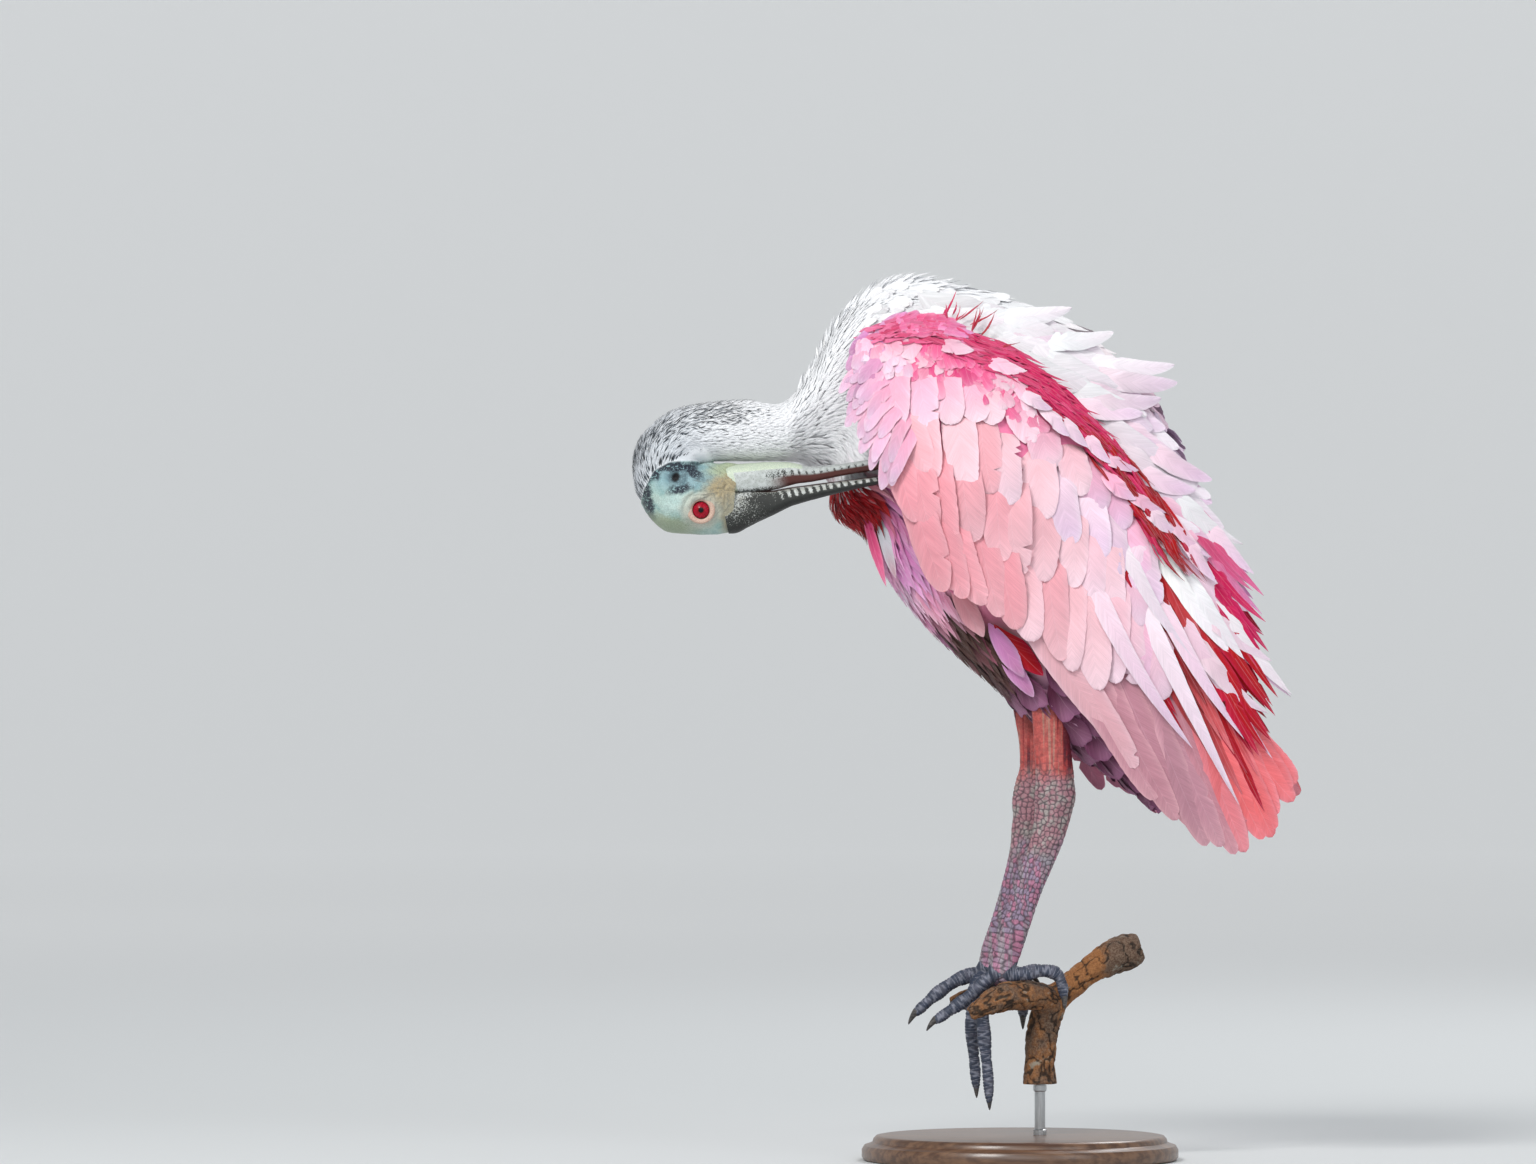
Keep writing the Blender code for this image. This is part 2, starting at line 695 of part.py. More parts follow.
def bill_pocket():
    """The room that the tucked bill takes in the body's plumage."""
    rings = []
    for upper, lower in zip(UPPER_BILL[POCKET_FIRST:], LOWER_BILL[POCKET_FIRST + 1:]):
        top, bottom = lower[1] + lower[2], upper[1] - upper[2]
        middle, half = (top + bottom) / 2, (top - bottom) / 2
        wide = max(upper[3], lower[3]) + POCKET_SIDE
        rings.append(bill_ring((upper[0], middle, half, wide), POCKET_SIDES, POCKET_GROW))
    rings.append(bill_ring(POCKET_END, POCKET_SIDES))
    return loft("pocket", rings)


def make_head():
    """The head with its eyelids, its ear holes and its mouth's corner, and the two eyes."""
    head = body_solid("head", HEAD_START, len(BODY) - 1, NECK_FACETS)
    lids, cuts, eyes = [], [], []
    x, z = EYE_CENTRE
    for side, name in ((-1, "left"), (1, "right")):
        rim = (x, HEAD_Y + side * (EYE_SKIN - LID_SINK), z)
        lids.append(hoop("lid", rim, LID_RADIUS, LID_THICKNESS))
        centre = (x, HEAD_Y + side * (EYE_SKIN - EYE_SINK), z)
        cuts.append(ball("socket", centre, (EYE_RADIUS + 2 * GAP,) * 3, BALL_ROWS))
        eyes.append((f"eye_{name}", centre))
        ear = (EAR_CENTRE[0], HEAD_Y + side * EAR_SKIN, EAR_CENTRE[1])
        cuts.append(ball("ear", ear, EAR_RADII, SMALL_BALL_ROWS))
    mouth_middle = (MOUTH_CENTRE[0], HEAD_Y, MOUTH_CENTRE[1])
    mouth = ball("mouth", mouth_middle, MOUTH_RADII, SMALL_BALL_ROWS)
    combine(head, lids, "UNION")
    combine(head, cuts + [mouth], "DIFFERENCE")
    finish(head, "head", "head_skin")
    for name, centre in eyes:
        finish(ball(name, centre, (EYE_RADIUS,) * 3, BALL_ROWS), name, "eye_red")


def make_bill():
    """Both mandibles, cut back to the face, with the nostrils' slits in the upper one."""
    upper = mandible("bill_upper", UPPER_BILL)
    slits = [face_cutter()]
    x, z = NOSTRIL_CENTRE
    for side in (-1, 1):
        centre = (x, HEAD_Y + side * NOSTRIL_SPREAD, z)
        slits.append(ball("nostril", centre, NOSTRIL_RADII, SMALL_BALL_ROWS))
    combine(upper, slits, "DIFFERENCE")
    finish(upper, "bill_upper", "bill_horn")
    lower = mandible("bill_lower", LOWER_BILL)
    combine(lower, [face_cutter()], "DIFFERENCE")
    finish(lower, "bill_lower", "bill_horn")


def tail_frame():
    """The way the tail runs and the way its upper side faces."""
    way = Vector((TAIL_TIP[0] - TAIL_ROOT[0], 0, TAIL_TIP[1] - TAIL_ROOT[1])).normalized()
    return way, Vector((-way.z, 0, way.x))


def make_tail():
    """The tail's flesh and its fan of feathers."""
    count, sides = TAIL_FACETS
    sections = [(*back, *belly, half) for back, belly, half, _ in TAIL_SECTIONS]
    rings = []
    for k in range(count + 1):
        back_x, back_z, belly_x, belly_z, half = along(sections, k / count)
        middle = Vector(((back_x + belly_x) / 2, 0, (back_z + belly_z) / 2))
        up = Vector(((back_x - belly_x) / 2, 0, (back_z - belly_z) / 2))
        turns = [2 * math.pi * s / sides for s in range(sides)]
        rings.append([middle + up * math.cos(t) + Vector((0, half * math.sin(t), 0)) for t in turns])
    way, up = tail_frame()
    rings[0] = [p + way * GAP for p in rings[0]]
    core = loft("tail", rings)
    steps = len(TAIL_SHAPE) - 1
    vanes = []
    for pair in range(TAIL_PAIRS):
        for side in (-1, 1):
            spread = side * (pair + 0.5) / TAIL_PAIRS
            start = Vector((TAIL_ROOT[0], spread * TAIL_ROOT_SPREAD, TAIL_ROOT[1]))
            end = Vector((TAIL_TIP[0], spread * TAIL_SPREAD, TAIL_TIP[1]))
            end = end - way * pair * TAIL_SHORTER
            level = up * (TAIL_TOP - TAIL_DROP * pair + TAIL_SIDE_STEP * side)
            line = [start.lerp(end, k / steps) + level for k in range(steps + 1)]
            vanes.append(vane(line, [up] * len(line), TAIL_HALF, TAIL_SHAPE))
    combine(core, vanes, "UNION")
    finish(core, "tail", "feather_orange")


def make_leg(side_name, shank, tarsus, y, cutter):
    """A shank cut back to the plumage, and the tarsus under it."""
    upper = limb_solid(f"shank_{side_name}", shank, y, SHANK_FACETS)
    combine(upper, [cutter], "DIFFERENCE")
    finish(upper, f"shank_{side_name}", "leg_skin")
    lower = limb_solid(f"tarsus_{side_name}", tarsus, y, TARSUS_FACETS)
    finish(lower, f"tarsus_{side_name}", "leg_skin")


def make_foot(name, pad, toes, y, cutters):
    """A foot's pad and toes, cut back to the branch that they grip."""
    foot = limb_solid(name, pad, y, PAD_FACETS)
    pieces = []
    for toe, points in toes.items():
        thick = HIND_RADIUS if toe == "hind" else TOE_RADIUS
        pieces.append(tube("toe", points, [thick * t for t in TOE_TAPER], TOE_RINGS))
    combine(foot, pieces, "UNION")
    combine(foot, cutters, "DIFFERENCE")
    finish(foot, name, "leg_skin")


def branches(grow=0.0):
    """The branch's four lengths as separate bars."""
    made = []
    for run in (STEM, NEAR_PRONG, FAR_PRONG, LIMB):
        points, radii = [p[:3] for p in run], [p[3] for p in run]
        made.append(tube("branch", points, radii, BRANCH_RINGS, grow))
    return made


def make_perch():
    """The cut length of branch."""
    stem, *rest = branches()
    combine(stem, rest, "UNION")
    finish(stem, "perch", "bark")


def make_stand():
    """The round base and the rod that carries the branch."""
    middle = (0, 0, BASE_THICKNESS / 2)
    base = rod("stand_base", middle, BASE_RADIUS, BASE_THICKNESS, BASE_SIDES)
    finish(base, "stand_base", "base_wood")
    low, high = BASE_THICKNESS + GAP, STEM[0][2] - GAP
    middle = (STEM[0][0], STEM[0][1], (low + high) / 2)
    post = rod("stand_rod", middle, ROD_RADIUS, high - low, ROD_SIDES)
    finish(post, "stand_rod", "rod_metal")


def face_cutter():
    """The head, a gap larger."""
    return body_solid("cutter", HEAD_START, len(BODY) - 1 + FACE_STEP, NECK_FACETS, GAP)


def body_cutter():
    """The torso, a gap larger."""
    return body_solid("cutter", 0, NECK_START, TORSO_FACETS, GAP)


def main():
    """Makes every solid."""
    make_stand()
    make_perch()
    torso = body_solid("torso", 0, NECK_START, TORSO_FACETS)
    combine(torso, mantle_vanes() + breast_plumes(), "UNION")
    combine(torso, [bill_pocket()], "DIFFERENCE")
    finish(torso, "torso", "feather_pink")
    finish(body_solid("neck", NECK_START, HEAD_START, NECK_FACETS), "neck", "feather_white")
    make_head()
    make_bill()
    make_tail()
    upper_rows = (TERTIALS, GREATER_COVERTS, MEDIAN_COVERTS, LESSER_COVERTS, SCAPULARS)
    wing("wing_left", -1, LIFT_NEAR, (NEAR_REMIGES, *upper_rows), body_cutter())
    wing("wing_right", 1, LIFT_FAR, (FAR_REMIGES, *upper_rows), body_cutter())
    make_leg("left", NEAR_SHANK, NEAR_TARSUS, NEAR_LEG_Y, body_cutter())
    make_leg("right", FAR_SHANK, FAR_TARSUS, FAR_LEG_Y, body_cutter())
    make_foot("foot_left", NEAR_PAD, NEAR_TOES, NEAR_LEG_Y, branches(GAP))
    make_foot("foot_right", FAR_PAD, FAR_TOES, FAR_LEG_Y, branches(GAP))


clear_scene()
model = bpy.data.collections.new("roseate_spoonbill")
bpy.context.scene.collection.children.link(model)
main()
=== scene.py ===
"""Looks of a life-size roseate spoonbill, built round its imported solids.

Working lengths are millimetres; meshes, lights and the camera are placed in metres. The bird faces
-X and its left side is to -Y. Lists of (x, z) pairs lie in the plane that the camera faces.
"""

from __future__ import annotations

import logging
import math
from dataclasses import dataclass, field
from enum import Enum
from typing import Any, Callable, Sequence

import bpy
import numpy as np
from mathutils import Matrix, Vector
from mathutils.kdtree import KDTree


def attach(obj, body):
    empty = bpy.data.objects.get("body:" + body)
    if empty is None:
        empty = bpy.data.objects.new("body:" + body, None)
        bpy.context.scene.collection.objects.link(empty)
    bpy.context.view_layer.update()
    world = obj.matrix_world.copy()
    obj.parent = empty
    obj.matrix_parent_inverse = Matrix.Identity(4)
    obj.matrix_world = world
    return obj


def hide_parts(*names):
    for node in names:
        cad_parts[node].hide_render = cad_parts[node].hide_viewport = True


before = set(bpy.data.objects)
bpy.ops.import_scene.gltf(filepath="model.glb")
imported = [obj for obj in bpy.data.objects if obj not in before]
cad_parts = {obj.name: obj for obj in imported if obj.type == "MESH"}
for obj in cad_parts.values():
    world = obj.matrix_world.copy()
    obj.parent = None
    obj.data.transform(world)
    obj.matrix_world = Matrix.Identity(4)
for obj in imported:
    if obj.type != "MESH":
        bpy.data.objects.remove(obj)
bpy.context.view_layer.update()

LOG = logging.getLogger("spoonbill")
Array = np.ndarray
MM = 0.001
BODY = "root"
PATCH = 0.003
COAT_MAP = "OFBake"
ACROSS = np.array((0.0, 1.0, 0.0))


class Hue(Enum):
    """The bird's and the stand's colours, as display red, green and blue."""

    SNOW = (0.955, 0.96, 0.97)
    CLOUD = (0.82, 0.85, 0.88)
    SLATE = (0.42, 0.46, 0.50)
    BLUSH = (0.98, 0.86, 0.91)
    SHELL = (0.97, 0.75, 0.79)
    ROSE = (0.97, 0.66, 0.77)
    PINK = (0.93, 0.50, 0.66)
    MAGENTA = (0.86, 0.24, 0.47)
    CARMINE = (0.80, 0.07, 0.33)
    CRIMSON = (0.72, 0.02, 0.09)
    BLOOD = (0.42, 0.01, 0.03)
    SALMON = (0.97, 0.63, 0.68)
    CORAL = (0.97, 0.46, 0.48)
    ORANGE = (0.86, 0.42, 0.12)
    AMBER = (0.90, 0.62, 0.20)
    FROST = (0.95, 0.90, 0.94)
    LILAC = (0.88, 0.76, 0.88)
    ORCHID = (0.89, 0.57, 0.81)
    DUSK = (0.80, 0.56, 0.62)
    MAUVE = (0.73, 0.49, 0.64)
    PLUM = (0.50, 0.25, 0.42)
    WINE = (0.32, 0.08, 0.20)
    UMBER = (0.36, 0.25, 0.22)

    @property
    def linear(self) -> Array:
        """The colour as the linear numbers that a mesh or a shader holds."""
        return linear(self.value)


def linear(colour: Sequence[float]) -> Array:
    """Display red, green and blue as linear numbers."""
    shown = np.asarray(colour, float)
    return np.where(shown <= 0.04045, shown / 12.92, ((shown + 0.055) / 1.055) ** 2.4)


def unit(vectors: Array) -> Array:
    """Vectors of length one, with the last axis as their numbers."""
    return vectors / np.maximum(np.linalg.norm(vectors, axis=-1, keepdims=True), 1e-9)


def soft_step(value: Array, low: float, high: float) -> Array:
    """A smooth rise from 0 at low to 1 at high."""
    part = np.clip((value - low) / (high - low), 0, 1)
    return part * part * (3 - 2 * part)


def smooth(values: Any, place: Array) -> Array:
    """Reads rows of numbers at fractional places, on a Catmull-Rom curve.

    Args:
        values: The rows, each of any count of numbers.
        place: Places from 0 to the last row.

    Returns:
        One row for each place.
    """
    rows, place = np.asarray(values, float), np.asarray(place, float)
    last = len(rows) - 1
    low = np.clip(np.floor(place).astype(int), 0, last - 1)
    part, first, final = (place - low)[..., None], (low == 0)[..., None], (low + 2 > last)[..., None]
    start, end = rows[low], rows[low + 1]
    before = np.where(first, 2 * start - end, rows[np.maximum(low - 1, 0)])
    after = np.where(final, 2 * end - start, rows[np.minimum(low + 2, last)])
    return 0.5 * (
        2 * start
        + (end - before) * part
        + (2 * before - 5 * start + 4 * end - after) * part**2
        + (3 * start - before - 3 * end + after) * part**3
    )


def along(values: Any, share: Array) -> Array:
    """Reads rows of numbers at shares of their length."""
    return smooth(values, np.asarray(share, float) * (len(values) - 1))


def scrambled(*numbers: Array) -> Array:
    """A repeatable number from 0 to 1 for each set of whole numbers."""
    mixed = sum(n * factor for n, factor in zip(numbers, (127.1, 311.7, 74.7)))
    wild = np.sin(mixed) * 43758.5453
    return wild - np.floor(wild)


def grain(points: Array, size: float, seed: float = 0.0, octaves: int = 2) -> Array:
    """Smooth noise from -1 to 1.

    Args:
        points: Points in millimetres.
        size: The width of its largest lumps.
        seed: Another number gives another pattern.
        octaves: How many finer layers it has.

    Returns:
        One number for each point.
    """
    total, gain, whole = np.zeros(points.shape[:-1]), 1.0, 0.0
    for octave in range(octaves):
        spot = points / size * 2**octave + seed * 17.3
        low = np.floor(spot)
        part = spot - low
        part = part * part * (3 - 2 * part)
        for corner in np.ndindex(2, 2, 2):
            weight = np.prod(np.where(np.array(corner), part, 1 - part), axis=-1)
            held = low + np.array(corner)
            total += gain * weight * (2 * scrambled(held[..., 0], held[..., 1], held[..., 2]) - 1)
        whole += gain
        gain *= 0.5
    return total / whole


def cells(u: Array, v: Array, seed: float = 0.0) -> tuple[Array, Array]:
    """A loose net of scales over a flat pattern.

    Args:
        u: The pattern's first coordinate, with a scale's width as 1.
        v: Its second coordinate, with a scale's length as 1.
        seed: Another number gives another net.

    Returns:
        How far each point is from its scale's border, and its scale's own number from 0 to 1.
    """
    first, second, number = (np.full(u.shape, start) for start in (9.0, 9.0, 0.0))
    for step_u in (-1, 0, 1):
        for step_v in (-1, 0, 1):
            cell_u, cell_v = np.floor(u) + step_u, np.floor(v) + step_v
            own, other = scrambled(cell_u, cell_v, seed), scrambled(cell_v + 7, cell_u, seed)
            away = np.hypot(cell_u + 0.15 + 0.7 * own - u, cell_v + 0.15 + 0.7 * other - v)
            second = np.where(away < first, first, np.minimum(second, away))
            number = np.where(away < first, own, number)
            first = np.minimum(first, away)
    return second - first, number


class Socket:
    """A shader's output whose arithmetic adds Math nodes."""

    def __init__(self, shader: Shader, out: bpy.types.NodeSocket) -> None:
        """Keeps the socket with the shader that it belongs to."""
        self.shader = shader
        self.out = out

    def math(self, operation: str, *values: Any) -> Socket:
        """One Math node over these values."""
        return self.shader.node("Math", {"operation": operation}, dict(enumerate(values)))

    def __add__(self, other: Any) -> Socket:
        """The sum."""
        return self.math("ADD", self, other)

    def __radd__(self, other: Any) -> Socket:
        """The sum, from the right."""
        return self.math("ADD", other, self)

    def __sub__(self, other: Any) -> Socket:
        """The difference."""
        return self.math("SUBTRACT", self, other)

    def __rsub__(self, other: Any) -> Socket:
        """The difference, from the right."""
        return self.math("SUBTRACT", other, self)

    def __mul__(self, other: Any) -> Socket:
        """The product."""
        return self.math("MULTIPLY", self, other)

    def __rmul__(self, other: Any) -> Socket:
        """The product, from the right."""
        return self.math("MULTIPLY", other, self)

    def __truediv__(self, other: Any) -> Socket:
        """The quotient."""
        return self.math("DIVIDE", self, other)

    def __pow__(self, other: Any) -> Socket:
        """The power."""
        return self.math("POWER", self, other)

    def __abs__(self) -> Socket:
        """The size without its sign."""
        return self.math("ABSOLUTE", self)

    def sine(self) -> Socket:
        """The sine."""
        return self.math("SINE", self)

    def least(self, other: Any) -> Socket:
        """The smaller of the two."""
        return self.math("MINIMUM", self, other)

    def most(self, other: Any) -> Socket:
        """The larger of the two."""
        return self.math("MAXIMUM", self, other)

    def rise(self, low: float, high: float) -> Socket:
        """A smooth step from 0 at low to 1 at high."""
        values = {"Value": self, "From Min": low, "From Max": high}
        return self.shader.node("MapRange", {"interpolation_type": "SMOOTHSTEP"}, values)


class Shader:
    """One material's nodes, written as expressions."""

    def __init__(self, name: str) -> None:
        """Makes the material with its Principled shader."""
        self.material = bpy.data.materials.new(name)
        self.material.use_nodes = True
        self.tree = self.material.node_tree
        self.surface = self.tree.nodes["Principled BSDF"]

    def node(
        self, kind: str, settings: dict[str, Any] | None = None,
        inputs: dict[Any, Any] | None = None, output: Any = 0,
    ) -> Socket:
        """Adds a node.

        Args:
            kind: The node's type, without ShaderNode.
            settings: Its own settings, and a ramp's stops as (place, colour) pairs.
            inputs: The value or the link of each socket that is set.
            output: Which output is read.

        Returns:
            That output.
        """
        made = self.tree.nodes.new("ShaderNode" + kind)
        for key, value in (settings or {}).items():
            if key == "stops":
                self._stops(made.color_ramp, value)
            else:
                setattr(made, key, value)
        for key, value in (inputs or {}).items():
            self._set(made.inputs[key], value)
        return Socket(self, made.outputs[output])

    def _stops(self, ramp: bpy.types.ColorRamp, stops: Sequence[tuple[float, Hue]]) -> None:
        """Gives a colour ramp its stops."""
        while len(ramp.elements) < len(stops):
            ramp.elements.new(1.0)
        for element, (place, hue) in zip(ramp.elements, stops):
            element.position = place
            element.color = (*hue.linear, 1.0)

    def _set(self, socket: bpy.types.NodeSocket, value: Any) -> None:
        """Links or sets one input."""
        if isinstance(value, Socket):
            self.tree.links.new(value.out, socket)
        elif isinstance(value, Hue):
            socket.default_value = (*value.linear, 1.0)
        else:
            socket.default_value = value

    def mix(self, low: Any, high: Any, share: Any, blend: str = "MIX") -> Socket:
        """Mixes two colours by a share from 0 to 1."""
        settings = {"data_type": "RGBA", "blend_type": blend, "clamp_factor": True}
        return self.node("Mix", settings, {0: share, 6: low, 7: high}, 2)

    def grey(self, value: Any) -> Socket:
        """A value as a grey colour."""
        return self.node("CombineColor", None, {"Red": value, "Green": value, "Blue": value})

    def attribute(self, name: str, output: str = "Color") -> Socket:
        """Reads what the mesh stores under a name."""
        return self.node("Attribute", {"attribute_name": name}, None, output)

    def spot(self) -> tuple[Socket, Socket, Socket, Socket]:
        """The place in millimetres, as x, y, z and the whole vector."""
        place = self.node("TexCoord", None, None, "Object")
        scaled = self.node("VectorMath", {"operation": "SCALE"}, {0: place, "Scale": 1 / MM})
        return (*self.parts(scaled), scaled)

    def parts(self, vector: Socket) -> tuple[Socket, Socket, Socket]:
        """A vector's three numbers."""
        split = [self.node("SeparateXYZ", None, {0: vector}, axis) for axis in range(3)]
        return split[0], split[1], split[2]

    def vector(self, x: Any, y: Any, z: Any) -> Socket:
        """A vector of three numbers."""
        return self.node("CombineXYZ", None, {0: x, 1: y, 2: z})

    def noise(self, vector: Socket, scale: float, detail: float = 2.0, rough: float = 0.5) -> Socket:
        """Noise from 0 to 1, with scale as lumps for each millimetre."""
        values = {"Vector": vector, "Scale": scale, "Detail": detail, "Roughness": rough}
        return self.node("TexNoise", None, values)

    def patch(
        self, x: Socket, z: Socket, centre: tuple[float, float], radii: tuple[float, float],
        turn: float = 0.0, edge: float = 0.35,
    ) -> Socket:
        """A soft-edged ellipse, 1 inside.

        Args:
            x: The place across.
            z: The place up.
            centre: The ellipse's middle.
            radii: Its half length and half breadth.
            turn: Its turn in degrees.
            edge: How much of the radius fades.

        Returns:
            The mask.
        """
        cos, sin = math.cos(math.radians(turn)), math.sin(math.radians(turn))
        over, up = x - centre[0], z - centre[1]
        length = (over * cos + up * sin) / radii[0]
        breadth = (up * cos - over * sin) / radii[1]
        return 1 - ((length**2 + breadth**2) ** 0.5).rise(1 - edge, 1 + edge)

    def bump(self, height: Socket, depth: float, strength: float = 1.0) -> None:
        """Raises the surface by a height in millimetres."""
        values = {"Height": height, "Distance": depth * MM, "Strength": strength}
        self._set(self.surface.inputs["Normal"], self.node("Bump", None, values))

    def finish(self, **sockets: Any) -> bpy.types.Material:
        """Sets the surface's sockets, named with _ for spaces, and returns the material."""
        for name, value in sockets.items():
            self._set(self.surface.inputs[name.replace("_", " ").title().replace("Ior", "IOR")], value)
        return self.material


@dataclass(frozen=True)
class FeatherFinish:
    """Feather vanes: barbs that slant off a quill, over the colour stored in the mesh."""

    name: str = "feather_vane"
    barbs: float = 1.0
    streaks: float = 0.85
    quill: float = 0.10
    roughness: float = 0.62

    def material(self) -> bpy.types.Material:
        """Builds the material."""
        shader = Shader(self.name)
        tint = shader.attribute("tint")
        out, down, own = shader.parts(shader.attribute("barb", "Vector"))
        reach = abs(out)
        slant = down - reach * 1.2
        fine = shader.noise(shader.vector(slant * 2.2, reach * 0.1, own * 91.0), self.barbs, 2.0, 0.6)
        broad = shader.noise(shader.vector(slant * 0.32, reach * 0.07, own * 47.0), 0.8, 2.0)
        barb = fine.rise(0.34, 0.66)
        colour = shader.mix(tint, shader.grey(0.74 + barb * 0.14 + broad * 0.24), self.streaks, "MULTIPLY")
        colour = shader.mix(colour, Hue.BLUSH, barb * broad.rise(0.5, 0.72) * 0.06)
        quill = 1 - reach.rise(0.12, 0.34)
        colour = shader.mix(colour, Hue.BLUSH, quill * self.quill)
        shader.bump(barb + quill * 0.5, 0.22, 0.6)
        return shader.finish(
            base_color=colour, roughness=self.roughness, specular_ior_level=0.2,
            sheen_weight=0.1, sheen_roughness=0.5,
        )


@dataclass(frozen=True)
class DownFinish:
    """Short soft feathers and the skin beneath a coat, over the colour stored in the mesh."""

    name: str = "feather_down"
    roughness: float = 0.8

    def material(self) -> bpy.types.Material:
        """Builds the material."""
        shader = Shader(self.name)
        *_, place = shader.spot()
        lumps = shader.noise(place, 0.9, 4.0, 0.7)
        colour = shader.mix(shader.attribute("tint"), shader.grey(0.72 + lumps * 0.5), 0.6, "MULTIPLY")
        shader.bump(lumps, 0.5, 0.6)
        return shader.finish(
            base_color=colour, roughness=self.roughness, specular_ior_level=0.2,
            sheen_weight=0.2, sheen_roughness=0.6,
        )


@dataclass(frozen=True)
class HeadFinish:
    """The body's skin: down colour under the coat, and the head's bare painted skin."""

    name: str = "head_skin_bare"
    eye: tuple[float, float] = (-191.0, 389.5)
    ear: tuple[float, float] = (-206.0, 409.0)

    def material(self) -> bpy.types.Material:
        """Builds the material."""
        shader = Shader(self.name)
        x, _, z, place = shader.spot()
        fine = shader.noise(place, 1.4, 4.0, 0.65)
        broad = shader.noise(place, 0.16, 3.0)
        x_bent = x + (broad - 0.5) * 7.0 + (fine - 0.5) * 4.4
        z_bent = z + (shader.noise(place, 0.19, 3.0) - 0.5) * 7.0 + (fine - 0.5) * 4.4
        paint = shader.mix((0.33, 0.53, 0.50, 1), (0.52, 0.68, 0.62, 1), broad.rise(0.35, 0.65))
        blue = shader.patch(x_bent, z_bent, (-202, 410), (19, 9), 0, 0.6)
        paint = shader.mix(paint, (0.24, 0.42, 0.50, 1), blue * 0.8)
        crown = shader.patch(x_bent, z_bent, (-212, 380), (19, 6.5), -12, 0.5)
        paint = shader.mix(paint, (0.36, 0.42, 0.27, 1), crown * 0.85)
        pale = shader.patch(x_bent, z_bent, (-204, 393), (10, 6), 0, 0.6)
        paint = shader.mix(paint, (0.60, 0.77, 0.74, 1), pale * 0.6)
        buff = shader.patch(x_bent, z_bent, (-177, 404), (14, 8.5), 38, 0.5)
        paint = shader.mix(paint, (0.47, 0.36, 0.19, 1), buff * 0.9)
        low_buff = shader.patch(x_bent, z_bent, (-174, 388), (7, 13), 12, 0.5)
        paint = shader.mix(paint, (0.42, 0.36, 0.24, 1), low_buff * 0.85)
        olive = shader.patch(x_bent, z_bent, (-172, 415), (15, 4.0), 8, 0.5)
        paint = shader.mix(paint, (0.46, 0.54, 0.34, 1), olive * 0.85)
        ring = shader.patch(x_bent, z_bent, self.eye, (11.5, 11.0), 0, 0.3)
        paint = shader.mix(paint, (0.62, 0.60, 0.50, 1), ring * 0.75)
        turn = shader.node("Math", {"operation": "ARCTAN2"}, {0: z - 403, 1: x + 166})
        folds = shader.noise(shader.vector(turn * 7.0, x * 0.05, 2.0), 2.2, 3.0, 0.6)
        creased = shader.patch(x, z, (-181, 402), (17, 15), 20, 0.5)
        paint = shader.mix(paint, (0.10, 0.10, 0.08, 1), folds.rise(0.56, 0.70) * creased * 0.6)
        grey = shader.noise(place, 0.5, 4.0, 0.7).rise(0.5, 0.62)
        paint = shader.mix(paint, (0.17, 0.20, 0.19, 1), grey * creased * 0.45)
        band = self._band(shader, x_bent, z_bent)
        speckle = shader.noise(place, 0.8, 4.0, 0.75).rise(0.36, 0.48)
        paint = shader.mix(paint, (0.010, 0.018, 0.036, 1), band * speckle)
        # Painted shade: the ear opening is painted near black, for the depth that the skin's shallow dip
        # lacks.
        hole = shader.patch(x, z, self.ear, (2.3, 3.0), -25, 0.35)
        paint = shader.mix(paint, (0.004, 0.004, 0.006, 1), hole)
        paint = shader.mix(paint, shader.grey(0.14 + fine * 1.25), 0.8, "MULTIPLY")
        coat = shader.attribute("coat", "Fac")
        colour = shader.mix(paint, shader.attribute("tint"), coat)
        shader.bump(fine + broad * 2.0 + folds * creased * 1.5, 0.5, 0.8)
        return shader.finish(
            base_color=colour, roughness=0.5 + coat * 0.35, specular_ior_level=0.35,
            sheen_weight=0.1, sheen_roughness=0.6,
        )

    def _band(self, shader: Shader, x: Socket, z: Socket) -> Socket:
        """The black band from the crown's back over the ear, with loose flecks below it."""
        back = shader.patch(x, z, (-224.0, 400), (3.6, 15), 12, 0.35)
        corner = shader.patch(x, z, (-220, 411), (7.5, 4.0), 38, 0.35)
        top = shader.patch(x, z, (-207, 415.5), (13.5, 2.6), 6, 0.35)
        front = shader.patch(x, z, (-196, 412.5), (7.5, 3.4), -36, 0.4)
        loop = shader.patch(x, z, (-205, 409), (7.0, 5.2), 0, 0.3) * 0.55
        flecks = shader.patch(x, z, (-203.5, 401.8), (7.4, 2.8), 12, 0.5)
        return back.most(corner).most(top).most(front).most(loop).most(flecks)


@dataclass(frozen=True)
class LidFinish:
    """The pale, finely creased ring of skin round the eye."""

    name: str = "eyelid_ring"

    def material(self) -> bpy.types.Material:
        """Builds the material."""
        shader = Shader(self.name)
        *_, place = shader.spot()
        fine = shader.noise(place, 2.2, 3.0, 0.6)
        colour = shader.mix((0.58, 0.42, 0.33, 1), (0.36, 0.20, 0.17, 1), fine.rise(0.42, 0.7))
        shader.bump(fine, 0.25, 0.6)
        return shader.finish(base_color=colour, roughness=0.45, specular_ior_level=0.4)


